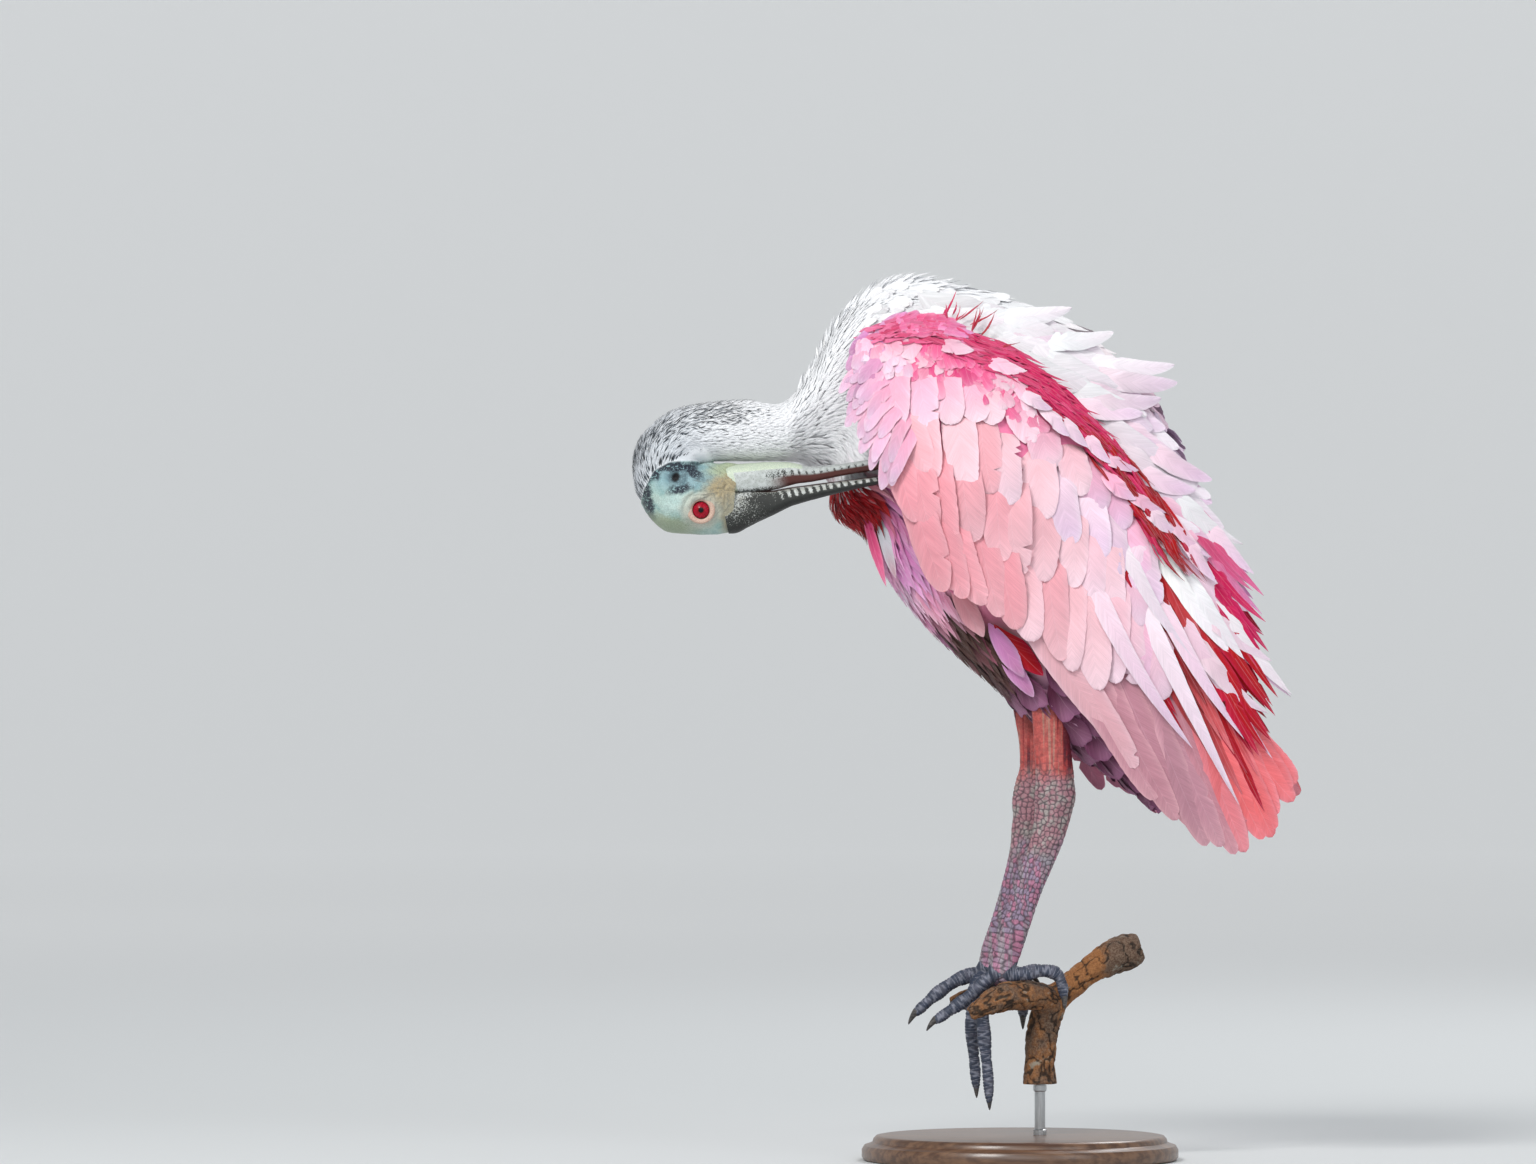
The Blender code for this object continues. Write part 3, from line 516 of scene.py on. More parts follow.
@dataclass(frozen=True)
class EyeFinish:
    """A wet red iris with a black pupil and a dark rim."""

    name: str = "iris_red"
    centre: tuple[float, float] = (-191.0, 389.5)
    pupil: float = 1.75
    iris: float = 5.2

    def material(self) -> bpy.types.Material:
        """Builds the material."""
        shader = Shader(self.name)
        x, _, z, _ = shader.spot()
        over, up = x - self.centre[0], z - self.centre[1]
        reach = (over**2 + up**2) ** 0.5
        turn = shader.node("Math", {"operation": "ARCTAN2"}, {0: up, 1: over})
        rays = shader.noise(shader.vector(turn * 5.0, reach * 0.35, 3.0), 1.6, 3.0, 0.7)
        colour = shader.mix((0.18, 0.002, 0.010, 1), (0.44, 0.008, 0.028, 1), rays.rise(0.35, 0.65))
        inner = 1 - reach.rise(self.pupil, self.pupil + 1.2)
        colour = shader.mix(colour, (0.20, 0.0, 0.0, 1), inner * 0.7)
        colour = shader.mix(colour, (0.05, 0.002, 0.002, 1), reach.rise(self.iris - 1.0, self.iris))
        colour = shader.mix(colour, (0.002, 0.002, 0.002, 1), 1 - reach.rise(self.pupil - 0.3, self.pupil))
        return shader.finish(
            base_color=colour, roughness=0.3, specular_ior_level=0.15,
            coat_weight=0.12, coat_roughness=0.02,
        )


@dataclass(frozen=True)
class HornFinish:
    """Bill horn: speckled grey with black ridges, and the parts that the mesh names.

    The mesh stores how dark each point is, partly as painted shade, how much dark red painted shade it has,
    and how much soft skin.
    """

    name: str
    horn: tuple[float, float, float] = (0.42, 0.44, 0.42)
    dark: tuple[float, float, float] = (0.018, 0.02, 0.018)
    skin: tuple[float, float, float] = (0.45, 0.53, 0.43)
    lining_and_shade: tuple[float, float, float] = (0.075, 0.016, 0.012)

    def material(self) -> bpy.types.Material:
        """Builds the material."""
        shader = Shader(self.name)
        *_, place = shader.spot()
        fine = shader.noise(place, 1.3, 4.0, 0.75)
        blotch = shader.noise(place, 0.35, 3.0, 0.6)
        dark, lining_and_shade, skin = shader.parts(shader.attribute("horn", "Vector"))
        colour = shader.mix((*self.horn, 1), (0.52, 0.55, 0.54, 1), blotch.rise(0.42, 0.68))
        colour = shader.mix(colour, (0.20, 0.20, 0.14, 1), blotch.rise(0.6, 0.4) * 0.25)
        # Dark markings over noise. The stored darkness also holds painted shade on the lower half's inner
        # face.
        stain_and_shade = (dark + (fine - 0.5) * 2.6).rise(0.36, 0.60)
        colour = shader.mix(colour, (*self.dark, 1), stain_and_shade)
        soft = shader.mix((*self.skin, 1), (0.66, 0.72, 0.56, 1), fine.rise(0.4, 0.7))
        colour = shader.mix(colour, soft, (skin + (fine - 0.5) * 0.5).rise(0.35, 0.65))
        # Painted shade: dark red on the inner faces, in the gap between the bill's halves.
        colour = shader.mix(colour, (*self.lining_and_shade, 1), lining_and_shade)
        shader.bump(fine, 0.35, 0.7)
        return shader.finish(base_color=colour, roughness=0.42 + stain_and_shade * 0.12, specular_ior_level=0.45)


@dataclass(frozen=True)
class ScaleFinish:
    """Leg skin: scales whose creases are darkened as painted shade. The mesh stores its creases, scales and
    zones.
    """

    name: str = "leg_scales"

    def material(self) -> bpy.types.Material:
        """Builds the material."""
        shader = Shader(self.name)
        x, _, z, place = shader.spot()
        crease, own, zone = shader.parts(shader.attribute("scale", "Vector"))
        fine = shader.noise(place, 1.1, 4.0, 0.7)
        blotch = shader.noise(place, 0.11, 3.0, 0.6)
        ridge = shader.noise(shader.vector(x * 0.34, 0.0, z * 0.014), 1.0, 1.0)
        shank = shader.mix((0.38, 0.025, 0.025, 1), (0.44, 0.08, 0.07, 1), ridge.rise(0.38, 0.50))
        shank = shader.mix(shank, (0.40, 0.20, 0.155, 1), ridge.rise(0.60, 0.68) * 0.8)
        shank = shader.mix(shank, (0.10, 0.010, 0.02, 1), ridge.rise(0.44, 0.37) * 0.9)
        shank = shader.mix(shank, (0.46, 0.26, 0.22, 1), fine.rise(0.5, 0.75) * 0.2)
        ankle = shader.mix((0.36, 0.18, 0.21, 1), (0.33, 0.29, 0.28, 1), blotch.rise(0.46, 0.60))
        tarsus = shader.mix((0.40, 0.16, 0.25, 1), (0.27, 0.20, 0.29, 1), own.rise(0.3, 0.8))
        stripe = shader.noise(shader.vector(x * 0.30, 0.0, z * 0.02), 1.0, 2.0).rise(0.50, 0.60)
        tarsus = shader.mix(tarsus, (0.28, 0.27, 0.29, 1), stripe * 0.75)
        toes = shader.mix((0.035, 0.045, 0.075, 1), (0.08, 0.085, 0.12, 1), own.rise(0.45, 0.9))
        toes = shader.mix(toes, (0.26, 0.27, 0.33, 1), (1 - crease.rise(0.03, 0.22)) * 0.6)
        colour = shader.mix(shank, ankle, zone.rise(0.75, 1.25))
        colour = shader.mix(colour, tarsus, zone.rise(1.6, 2.2))
        # Painted shade: dark in the creases between the scales and in the groove stored with them, stronger
        # from the ankle down.
        crack = (1 - crease.rise(0.04, 0.36)) * (0.14 + zone.rise(0.4, 1.2) * 0.62)
        colour = shader.mix(colour, (0.035, 0.022, 0.035, 1), crack)
        colour = shader.mix(colour, toes, zone.rise(2.75, 3.05))
        patch = shader.noise(place, 0.34, 3.0, 0.6)
        colour = shader.mix(colour, shader.grey(0.05 + patch * 1.8), 0.7, "MULTIPLY")
        colour = shader.mix(colour, shader.grey(0.5 + fine * 1.0), 0.85, "MULTIPLY")
        shader.bump(fine, 0.35, 0.7)
        return shader.finish(base_color=colour, roughness=0.5, specular_ior_level=0.4)


@dataclass(frozen=True)
class PlainFinish:
    """A finish of two colours blended by grain: claws, wood and metal."""

    name: str
    low: tuple[float, float, float]
    high: tuple[float, float, float]
    stretch: tuple[float, float, float] = (1.0, 1.0, 1.0)
    scale: float = 1.0
    roughness: float = 0.5
    metallic: float = 0.0
    relief: float = 0.2
    coat: float = 0.0

    def material(self) -> bpy.types.Material:
        """Builds the material."""
        shader = Shader(self.name)
        *_, place = shader.spot()
        stretched = shader.node("VectorMath", {"operation": "MULTIPLY"}, {0: place, 1: self.stretch})
        coarse = shader.noise(stretched, self.scale, 5.0, 0.6)
        colour = shader.mix((*self.low, 1), (*self.high, 1), coarse.rise(0.35, 0.65))
        shader.bump(coarse, self.relief, 0.7)
        return shader.finish(
            base_color=colour, roughness=self.roughness + (coarse - 0.5) * 0.12,
            metallic=self.metallic, coat_weight=self.coat, coat_roughness=0.2,
        )


@dataclass(frozen=True)
class PaperFinish:
    """Plain pale studio paper with painted light: it glows more the farther out it lies, standing in for lamp
    light on a far backdrop.
    """

    name: str = "studio_paper"
    grey: tuple[float, float, float] = (0.61, 0.63, 0.64)
    painted_glow: float = 0.30

    def material(self) -> bpy.types.Material:
        """Builds the material."""
        shader = Shader(self.name)
        tracing = getattr(shader.material, "cycles", None)
        if tracing is not None:
            tracing.emission_sampling = "NONE"
        x, y, _, _ = shader.spot()
        # Painted light: emission that grows from 0.4 m out to 4.6 m, so the far floor and wall look lit.
        far = ((x**2 + y**2) ** 0.5).rise(400.0, 4600.0) * self.painted_glow
        return shader.finish(
            base_color=(*self.grey, 1), roughness=0.85, emission_color=shader.grey(far),
            emission_strength=1.0,
        )


@dataclass(frozen=True)
class BarkFinish:
    """Weathered bark: orange-brown with grey lichen and dark cracks stored in the mesh."""

    name: str = "bark_weathered"

    def material(self) -> bpy.types.Material:
        """Builds the material."""
        shader = Shader(self.name)
        *_, place = shader.spot()
        fine = shader.noise(place, 0.9, 5.0, 0.7)
        blotch = shader.noise(place, 0.1, 4.0, 0.65)
        crack, orange, _ = shader.parts(shader.attribute("bark", "Vector"))
        colour = shader.mix((0.085, 0.045, 0.028, 1), (0.20, 0.14, 0.10, 1), fine.rise(0.35, 0.7))
        rust = shader.mix((0.20, 0.075, 0.028, 1), (0.36, 0.165, 0.06, 1), fine.rise(0.3, 0.7))
        colour = shader.mix(colour, rust, (orange + (blotch - 0.5)).rise(0.3, 0.6))
        colour = shader.mix(colour, (0.30, 0.29, 0.24, 1), blotch.rise(0.58, 0.68) * 0.8)
        colour = shader.mix(colour, (0.012, 0.009, 0.007, 1), crack.rise(0.35, 0.85) * 0.85)
        shader.bump(fine, 0.8, 0.9)
        return shader.finish(base_color=colour, roughness=0.78, specular_ior_level=0.3)


@dataclass
class Solid:
    """Points in millimetres with the faces and the stored values of one mesh."""

    points: Array
    faces: list[Array]
    values: dict[str, Array] = field(default_factory=dict)
    roots: Array | None = None

    def turned_out(self) -> Solid:
        """Turns every face over if the whole is inside out."""
        volume = 0.0
        for group in self.faces:
            first = self.points[group[:, 0]]
            for k in range(1, group.shape[1] - 1):
                cross = np.cross(self.points[group[:, k]], self.points[group[:, k + 1]])
                volume += float(np.einsum("ij,ij->", first, cross))
        if volume < 0:
            self.faces = [group[:, ::-1] for group in self.faces]
        return self

    def mesh(self, name: str, crease: float) -> bpy.types.Mesh:
        """Makes the Blender mesh, in metres.

        Args:
            name: The mesh's name.
            crease: Edges sharper than this, in degrees, stay sharp.

        Returns:
            The mesh, with its values as attributes and its coat map.
        """
        made = bpy.data.meshes.new(name)
        made.vertices.add(len(self.points))
        made.vertices.foreach_set("co", np.ravel(self.points * MM).astype(np.float32))
        corners = np.concatenate([np.ravel(group) for group in self.faces])
        counts = np.concatenate([np.full(len(group), group.shape[1]) for group in self.faces])
        made.loops.add(len(corners))
        made.loops.foreach_set("vertex_index", corners.astype(np.int32))
        made.polygons.add(len(counts))
        made.polygons.foreach_set("loop_start", (np.cumsum(counts) - counts).astype(np.int32))
        made.update(calc_edges=True)
        for key, value in self.values.items():
            self._store(made, key, value)
        if self.roots is not None:
            uv = made.uv_layers.new(name=COAT_MAP)
            uv.data.foreach_set("uv", np.ravel(self.roots[corners]).astype(np.float32))
        made.shade_smooth()
        made.set_sharp_from_angle(angle=math.radians(crease))
        return made

    def _store(self, made: bpy.types.Mesh, key: str, value: Array) -> None:
        """Stores one value for each point."""
        if value.ndim == 1:
            made.attributes.new(key, "FLOAT", "POINT").data.foreach_set("value", value.astype(np.float32))
        elif key == "tint":
            rgba = np.concatenate([value, np.ones((len(value), 1))], axis=1)
            held = made.attributes.new(key, "FLOAT_COLOR", "POINT")
            held.data.foreach_set("color", np.ravel(rgba).astype(np.float32))
        else:
            held = made.attributes.new(key, "FLOAT_VECTOR", "POINT")
            held.data.foreach_set("vector", np.ravel(value).astype(np.float32))


def lofts(rings: Array, values: dict[str, Array] | None = None, roots: Array | None = None) -> Solid:
    """Closed solids through rings of points.

    Args:
        rings: Points by solid, ring and side.
        values: Stored values, each laid out as the rings are.
        roots: Coat-map places, laid out as the rings are.

    Returns:
        All the solids as one.
    """
    count, steps, sides, _ = rings.shape
    index = np.arange(count * steps * sides).reshape(count, steps, sides)
    after = np.roll(index, -1, axis=2)
    quads = np.stack([index[:, :-1], after[:, :-1], after[:, 1:], index[:, 1:]], axis=-1)
    caps = np.concatenate([index[:, 0, ::-1], index[:, -1]])
    stored = {key: np.reshape(value, (-1, *value.shape[3:])) for key, value in (values or {}).items()}
    flat = None if roots is None else roots.reshape(-1, 2)
    return Solid(rings.reshape(-1, 3), [quads.reshape(-1, 4), caps], stored, flat).turned_out()


def together(solids: Sequence[Solid]) -> Solid:
    """Several solids as one mesh, still apart from each other."""
    starts = np.cumsum([0] + [len(solid.points) for solid in solids])
    faces = [group + start for solid, start in zip(solids, starts) for group in solid.faces]
    values = {key: np.concatenate([s.values[key] for s in solids]) for key in solids[0].values}
    roots = None if solids[0].roots is None else np.concatenate([s.roots for s in solids])
    return Solid(np.concatenate([s.points for s in solids]), faces, values, roots)


def fused(solid: Solid, voxel: float, rounds: int = 4) -> tuple[Array, Array, list[Array]]:
    """Closed solids that overlap, made one even skin.

    Args:
        solid: The overlapping solids.
        voxel: The size of the new faces.
        rounds: How often the new skin is smoothed.

    Returns:
        The points, their outward ways, and the faces.
    """
    guide = bpy.data.objects.new("guide", solid.mesh("guide", 60))
    bpy.context.scene.collection.objects.link(guide)
    remesh = guide.modifiers.new("skin", "REMESH")
    remesh.mode = "VOXEL"
    remesh.voxel_size = voxel * MM
    ease = guide.modifiers.new("ease", "SMOOTH")
    ease.iterations = rounds
    found = guide.evaluated_get(bpy.context.evaluated_depsgraph_get()).to_mesh()
    points, ways = np.empty(len(found.vertices) * 3), np.empty(len(found.vertices) * 3)
    found.vertices.foreach_get("co", points)
    found.vertices.foreach_get("normal", ways)
    corners, counts = np.empty(len(found.loops), int), np.empty(len(found.polygons), int)
    found.loops.foreach_get("vertex_index", corners)
    found.polygons.foreach_get("loop_total", counts)
    starts = np.cumsum(counts) - counts
    faces = []
    for sides in np.unique(counts):
        held = starts[counts == sides]
        faces.append(corners[held[:, None] + np.arange(sides)])
    bpy.data.objects.remove(guide)
    return points.reshape(-1, 3) / MM, ways.reshape(-1, 3), faces


def add_piece(
    name: str, solid: Solid, finish: bpy.types.Material,
    stands_for: Sequence[str] = (), crease: float = 55,
) -> bpy.types.Object:
    """Adds one visible piece of the model.

    Args:
        name: The piece's name.
        solid: Its mesh.
        finish: Its material.
        stands_for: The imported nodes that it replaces.
        crease: Edges sharper than this, in degrees, stay sharp.

    Returns:
        The object.
    """
    made = bpy.data.objects.new(name, solid.mesh(name, crease))
    bpy.context.scene.collection.objects.link(made)
    made.data.materials.append(finish)
    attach(made, BODY)
    if stands_for:
        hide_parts(*stands_for)
    LOG.info("%s: %d triangles", name, sum(len(g) * (g.shape[1] - 2) for g in solid.faces))
    return made


@dataclass
class BodyForm:
    """The torso, neck and head as one form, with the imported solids' own sections.

    Each section holds the back's point (x, z), the belly's point (x, z), the half width and the
    middle's y. A place is a section's number, and an angle is in degrees from the back's ridge,
    below zero on the left side.
    """

    sections: tuple[tuple[float, ...], ...] = (
        (105, 259, 59, 231, 24, 0), (109, 307, 19, 257, 40, 0), (102, 358, -17, 287, 53, 0),
        (88, 410, -54, 320, 59, 0), (56, 461, -78, 350, 58, 0), (6, 501, -91, 375, 52, 0),
        (-40, 520, -108, 387, 43, -1), (-76, 525, -114, 406, 35, -3), (-106, 505, -123, 413, 28, -8),
        (-124, 475, -132, 418, 22, -15), (-142, 454, -141, 419, 17.5, -24),
        (-164, 455, -161, 419, 16.5, -33), (-187, 453, -183, 419, 17, -39),
        (-209, 448, -192, 419, 18, -42), (-227, 432, -194, 417, 19, -43),
        (-231, 412, -194, 416, 19.5, -43), (-226, 392, -192, 415, 20, -43),
        (-214, 378, -187, 416, 20, -43), (-199, 375.5, -181, 417, 18.5, -43),
        (-184, 375, -175, 418, 16.5, -43), (-173, 376.5, -169, 417, 14, -43),
    )
    neck: int = 7
    head: int = 13
    last: int = 20

    def point(self, place: Array, angle: Array) -> Array:
        """Points on the form."""
        found = smooth(self.sections, place)
        back, belly = found[..., [0, 1]], found[..., [2, 3]]
        turn = np.radians(angle)[..., None]
        flat = (back + belly) / 2 + (back - belly) / 2 * np.cos(turn)
        across = found[..., 5:6] + found[..., 4:5] * np.sin(turn)
        return np.concatenate([flat[..., :1], across, flat[..., 1:]], axis=-1)

    def middle(self, place: Array) -> Array:
        """The middle of the form at a place."""
        return (self.point(place, place * 0) + self.point(place, place * 0 + 180)) / 2

    def steps(self, place: Array, angle: Array) -> tuple[Array, Array]:
        """How the surface runs for each place and for each degree."""
        forward = (self.point(place + 0.02, angle) - self.point(place - 0.02, angle)) / 0.04
        around = (self.point(place, angle + 1) - self.point(place, angle - 1)) / 2
        return forward, around

    def sample(self, place: Array, angle: Array, rise: Array) -> tuple[Array, Array]:
        """Points that stand off the form, and the ways out there."""
        points = self.point(place, angle)
        out = unit(np.cross(*self.steps(place, angle)))
        facing = np.sum(out * (points - self.middle(place)), axis=-1, keepdims=True)
        out = np.where(facing < 0, -out, out)
        return points + out * rise[..., None], out

    def strands(
        self, roots: Array, length: Array, heading: Array, rise: tuple[Any, Any], shares: Array,
        power: float = 1.0,
    ) -> tuple[Array, Array]:
        """Lines that feathers follow over the form.

        Args:
            roots: Each root's place and angle.
            length: Each feather's length.
            heading: Each feather's turn in degrees away from straight toward the tail.
            rise: How far roots and tips stand off.
            shares: Where along each feather the line has its points.
            power: Above 1 lifts mostly near the tip.

        Returns:
            The lines' points and the ways out.
        """
        place, angle = roots[:, 0], roots[:, 1]
        forward, around = self.steps(place, angle)
        per_place = np.maximum(np.linalg.norm(forward, axis=-1), 5.0)
        per_degree = np.maximum(np.linalg.norm(around, axis=-1), 0.12)
        turn = np.radians(heading)
        to_place = (place - length * np.cos(turn) / per_place)[:, None]
        to_angle = (angle + length * np.sin(turn) / per_degree)[:, None]
        part = shares[None, :]
        low, high = (np.broadcast_to(r, place.shape)[:, None] for r in rise)
        places = np.clip(place[:, None] * (1 - part) + to_place * part, -0.6, self.last + 0.2)
        angles = angle[:, None] * (1 - part) + to_angle * part
        return self.sample(places, angles, low + (high - low) * part**power)

    def scatter(
        self, places: tuple[float, float], angles: tuple[float, float], spacing: float, seed: int,
        keep: Callable[[Array, Array], Array] | None = None,
    ) -> Array:
        """Spreads roots evenly over part of the form.

        Args:
            places: The first and last place.
            angles: The first and last angle.
            spacing: The least distance between roots.
            seed: The draw's seed.
            keep: Says which candidates stay, from their roots and their points.

        Returns:
            The place and angle of each root.
        """
        draw = np.random.default_rng(seed)
        tries = draw.uniform((places[0], angles[0]), (places[1], angles[1]), (60000, 2))
        size = np.linalg.norm(np.cross(*self.steps(tries[:, 0], tries[:, 1])), axis=-1)
        wanted = size.mean() * (places[1] - places[0]) * (angles[1] - angles[0]) / spacing**2 * 5
        tries = tries[draw.random(len(tries)) < size / size.max()][: int(wanted)]
        points = self.point(tries[:, 0], tries[:, 1])
        if keep is not None:
            held = keep(tries, points)
            tries, points = tries[held], points[held]
        return tries[even_spread(points, spacing)]


def even_spread(points: Array, spacing: float) -> list[int]:
    """Picks points that keep their distance from those picked before."""
    grid: dict[tuple[int, int, int], list[int]] = {}
    kept: list[int] = []
    near = [(i, j, k) for i in (-1, 0, 1) for j in (-1, 0, 1) for k in (-1, 0, 1)]
    held = points.tolist()
    boxes = np.floor(points / spacing).astype(int).tolist()
    for index, (spot, box) in enumerate(zip(held, boxes)):
        close = (
            other
            for i, j, k in near
            for other in grid.get((box[0] + i, box[1] + j, box[2] + k), ())
        )
        if all(math.dist(spot, held[other]) >= spacing for other in close):
            grid.setdefault((box[0], box[1], box[2]), []).append(index)
            kept.append(index)
    return kept


@dataclass
class WingDome:
    """The dome over the body's side that a folded wing lies on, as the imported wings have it."""

    side: int
    lift: float
    middle: tuple[float, float] = (0.0, 372.0)
    way: tuple[float, float] = (0.62, -0.78)
    length: float = 198.0
    breadth: float = 114.0
    height: float = 67.0
    fall: tuple[float, float] = (0.5, 0.62)
    lift_middle: tuple[float, float] = (-40.0, 424.0)
    lift_reach: float = 62.0

    def depth(self, x: Array, z: Array) -> Array:
        """How far the dome stands from the mid plane."""
        over, up = x - self.middle[0], z - self.middle[1]
        a = (over * self.way[0] + up * self.way[1]) / self.length
        b = (-over * self.way[1] + up * self.way[0]) / self.breadth
        off = ((x - self.lift_middle[0]) ** 2 + (z - self.lift_middle[1]) ** 2) / self.lift_reach**2
        held = self.height * (1 - self.fall[0] * a * a - self.fall[1] * b * b)
        return held + self.lift * np.exp(-off)

    def sample(self, x: Array, z: Array, rise: Array) -> tuple[Array, Array]:
        """Points that stand off the dome, and the ways out there."""
        slope_x = (self.depth(x + 1, z) - self.depth(x - 1, z)) / 2
        slope_z = (self.depth(x, z + 1) - self.depth(x, z - 1)) / 2
        out = unit(np.stack([-slope_x, np.full_like(slope_x, self.side), -slope_z], axis=-1))
        points = np.stack([x, self.side * self.depth(x, z), z], axis=-1)
        return points + out * rise[..., None], out

    def unwrap(self, spots: Array) -> Array:
        """The coat map's places of (x, z) pairs: along the wing and across it, 0 to 1."""
        over, up = spots[..., 0] - self.middle[0], spots[..., 1] - self.middle[1]
        a = (over * self.way[0] + up * self.way[1]) / self.length
        b = (-over * self.way[1] + up * self.way[0]) / self.breadth
        return 0.5 + 0.48 * np.stack([np.tanh(a), np.tanh(b)], axis=-1)


class Outline(Enum):
    """A vane's outline: where it is widest, then how full and how blunt its end is."""

    ROUND = (0.45, 2.4, 2.0)
    LONG = (0.18, 5.0, 2.2)
    BLUNT = (0.3, 2.2, 1.5)
    LANCE = (0.34, 1.7, 1.15)
    HACKLE = (0.2, 1.5, 1.0)

    def width(self, share: Array) -> Array:
        """The half width at a share of the length, as a share of the widest."""
        widest, full, blunt = self.value
        root = np.sqrt(1 - (1 - np.minimum(share / widest, 1)) ** 2)
        end = np.clip((share - widest) / (1 - widest), 0, 1)
        return np.maximum((0.12 + 0.88 * root) * (1 - end**full) ** (1 / blunt), 0.015)


@dataclass(frozen=True)
class Tone:
    """A feather's colours: at its root, tip and edges, and on its underside."""

    root: Hue
    tip: Hue
    edge: Hue
    under: Hue = Hue.MAUVE

    def numbers(self) -> Array:
        """The four colours as rows of linear numbers."""
        return np.array([self.root.linear, self.tip.linear, self.edge.linear, self.under.linear])


@dataclass(frozen=True)
class Vane:
    """How one kind of feather is made."""

    outline: Outline
    stations: int = 8
    columns: int = 5
    thick: float = 0.5
    sweep: float = 0.5
    camber: float = 0.16
    fray: float = 0.1
    splits: float = 0.12
    roll: float = 7.0
    wander: float = 4.0
    ripple: float = 0.04
    mottle: float = 0.07

    def shares(self) -> Array:
        """Where along the feather its cross-sections are, closer together near the tip."""
        step = np.linspace(0, 1, self.stations)
        return 0.45 * step + 0.55 * np.sin(step * math.pi / 2)

    def build(
        self, line: Array, outs: Array, half: Array, tones: Array, roots: Array, seed: int,
        side: int = 1,
    ) -> Solid:
        """Makes a feather along each line.

        Args:
            line: Points by feather and station.
            outs: The ways out there.
            half: Each feather's half width.
            tones: Each feather's colours, four rows each.
            roots: Each root's place on the coat map.
            seed: The draw's seed.
            side: -1 rolls the feathers the other way.

        Returns:
            All the feathers as one.
        """
        draw = np.random.default_rng(seed)
        count, steps = line.shape[:2]
        share, column = self.shares(), np.linspace(-1, 1, self.columns)
        ahead = unit(np.gradient(line, axis=1))
        out = unit(outs - ahead * np.sum(outs * ahead, axis=-1, keepdims=True))
        wide = np.cross(out, ahead)
        turn = np.radians(side * self.roll + draw.normal(0, self.wander, (count, 1, 1)))
        out, wide = out * np.cos(turn) + wide * np.sin(turn), wide * np.cos(turn) - out * np.sin(turn)
        free = soft_step(share, 0.15, 0.5)[:, None]
        waves, start = draw.uniform(5, 12, (count, 1, 2)), draw.uniform(0, 6, (count, 1, 2))
        swell = np.sin(share[:, None] * waves + start)
        ragged = 1 + (0.05 * swell + draw.normal(0, self.fray, (count, steps, 2))) * free
        split = (draw.random((count, steps, 2)) < self.splits) * free
        ragged = ragged * (1 - split * draw.uniform(0.2, 0.6, (count, steps, 2)))
        width = half[:, None, None] * self.outline.width(share)[None, :, None] * ragged
        reach = np.where(column < 0, width[..., :1], width[..., 1:]) * column
        phase = draw.uniform(0, 2 * math.pi, (count, 1, 1))
        wave = np.sin(share[:, None] * 9 + column * 2 + phase) * half[:, None, None] * self.ripple
        lie = wave - self.camber * np.abs(reach * column)
        over = line[:, :, None] + wide[:, :, None] * reach[..., None]
        over = over + ahead[:, :, None] * (self.sweep * np.abs(reach))[..., None]
        over = over + out[:, :, None] * lie[..., None]
        body = (1 - column**2) * self.thick / 2 * (1 - 0.6 * share[:, None])
        lift = out[:, :, None] * np.broadcast_to(body, lie.shape)[..., None]
        inner = slice(self.columns - 2, 0, -1)
        rings = np.concatenate([over + lift, (over - lift)[:, :, inner]], axis=2)
        sides = np.concatenate([column, column[inner]])
        values = {
            "tint": self._tint(tones, share, sides, draw),
            "barb": self._barb(line, reach, share, inner, draw),
        }
        patch = np.stack(np.broadcast_arrays(sides * 0.5, share[:, None] - 0.5), axis=-1) * PATCH
        return lofts(rings, values, roots[:, None, None] + patch[None])

    def _tint(self, tones: Array, share: Array, sides: Array, draw: np.random.Generator) -> Array:
        """The stored colour: root to tip, then the edges, then the underside, darkened toward its edges as
        painted shade.
        """
        count = len(tones)
        part = (share**2.2)[None, :, None, None]
        colour = tones[:, None, None, 0] * (1 - part) + tones[:, None, None, 1] * part
        colour = np.broadcast_to(colour, (count, len(share), len(sides), 3)).copy()
        rim = (np.abs(sides) ** 4 * 0.42 + 0.3 * soft_step(share, 0.82, 1.0)[:, None])[None, ..., None]
        colour = colour * (1 - rim) + tones[:, None, None, 2] * rim
        below = np.arange(len(sides)) >= self.columns
        # Painted shade: the underside darkens toward its edges and tip.
        colour[:, :, below] = (tones[:, None, None, 3] * (1 - 0.3 * rim))[:, :, below]
        shade = 1 + draw.normal(0, self.mottle, (count, 1, 1, 1))
        return np.clip(colour * shade, 0, 1)

    def _barb(
        self, line: Array, reach: Array, share: Array, inner: slice, draw: np.random.Generator
    ) -> Array:
        """The stored place on the feather: across and along in millimetres, and its own number."""
        sides = np.concatenate([reach, reach[:, :, inner]], axis=2)
        length = np.linalg.norm(line[:, -1] - line[:, 0], axis=-1)[:, None, None]
        down = np.broadcast_to(share[None, :, None] * length, sides.shape)
        own = np.broadcast_to(draw.random((len(line), 1, 1)), sides.shape)
        return np.stack([sides, down, own], axis=-1)


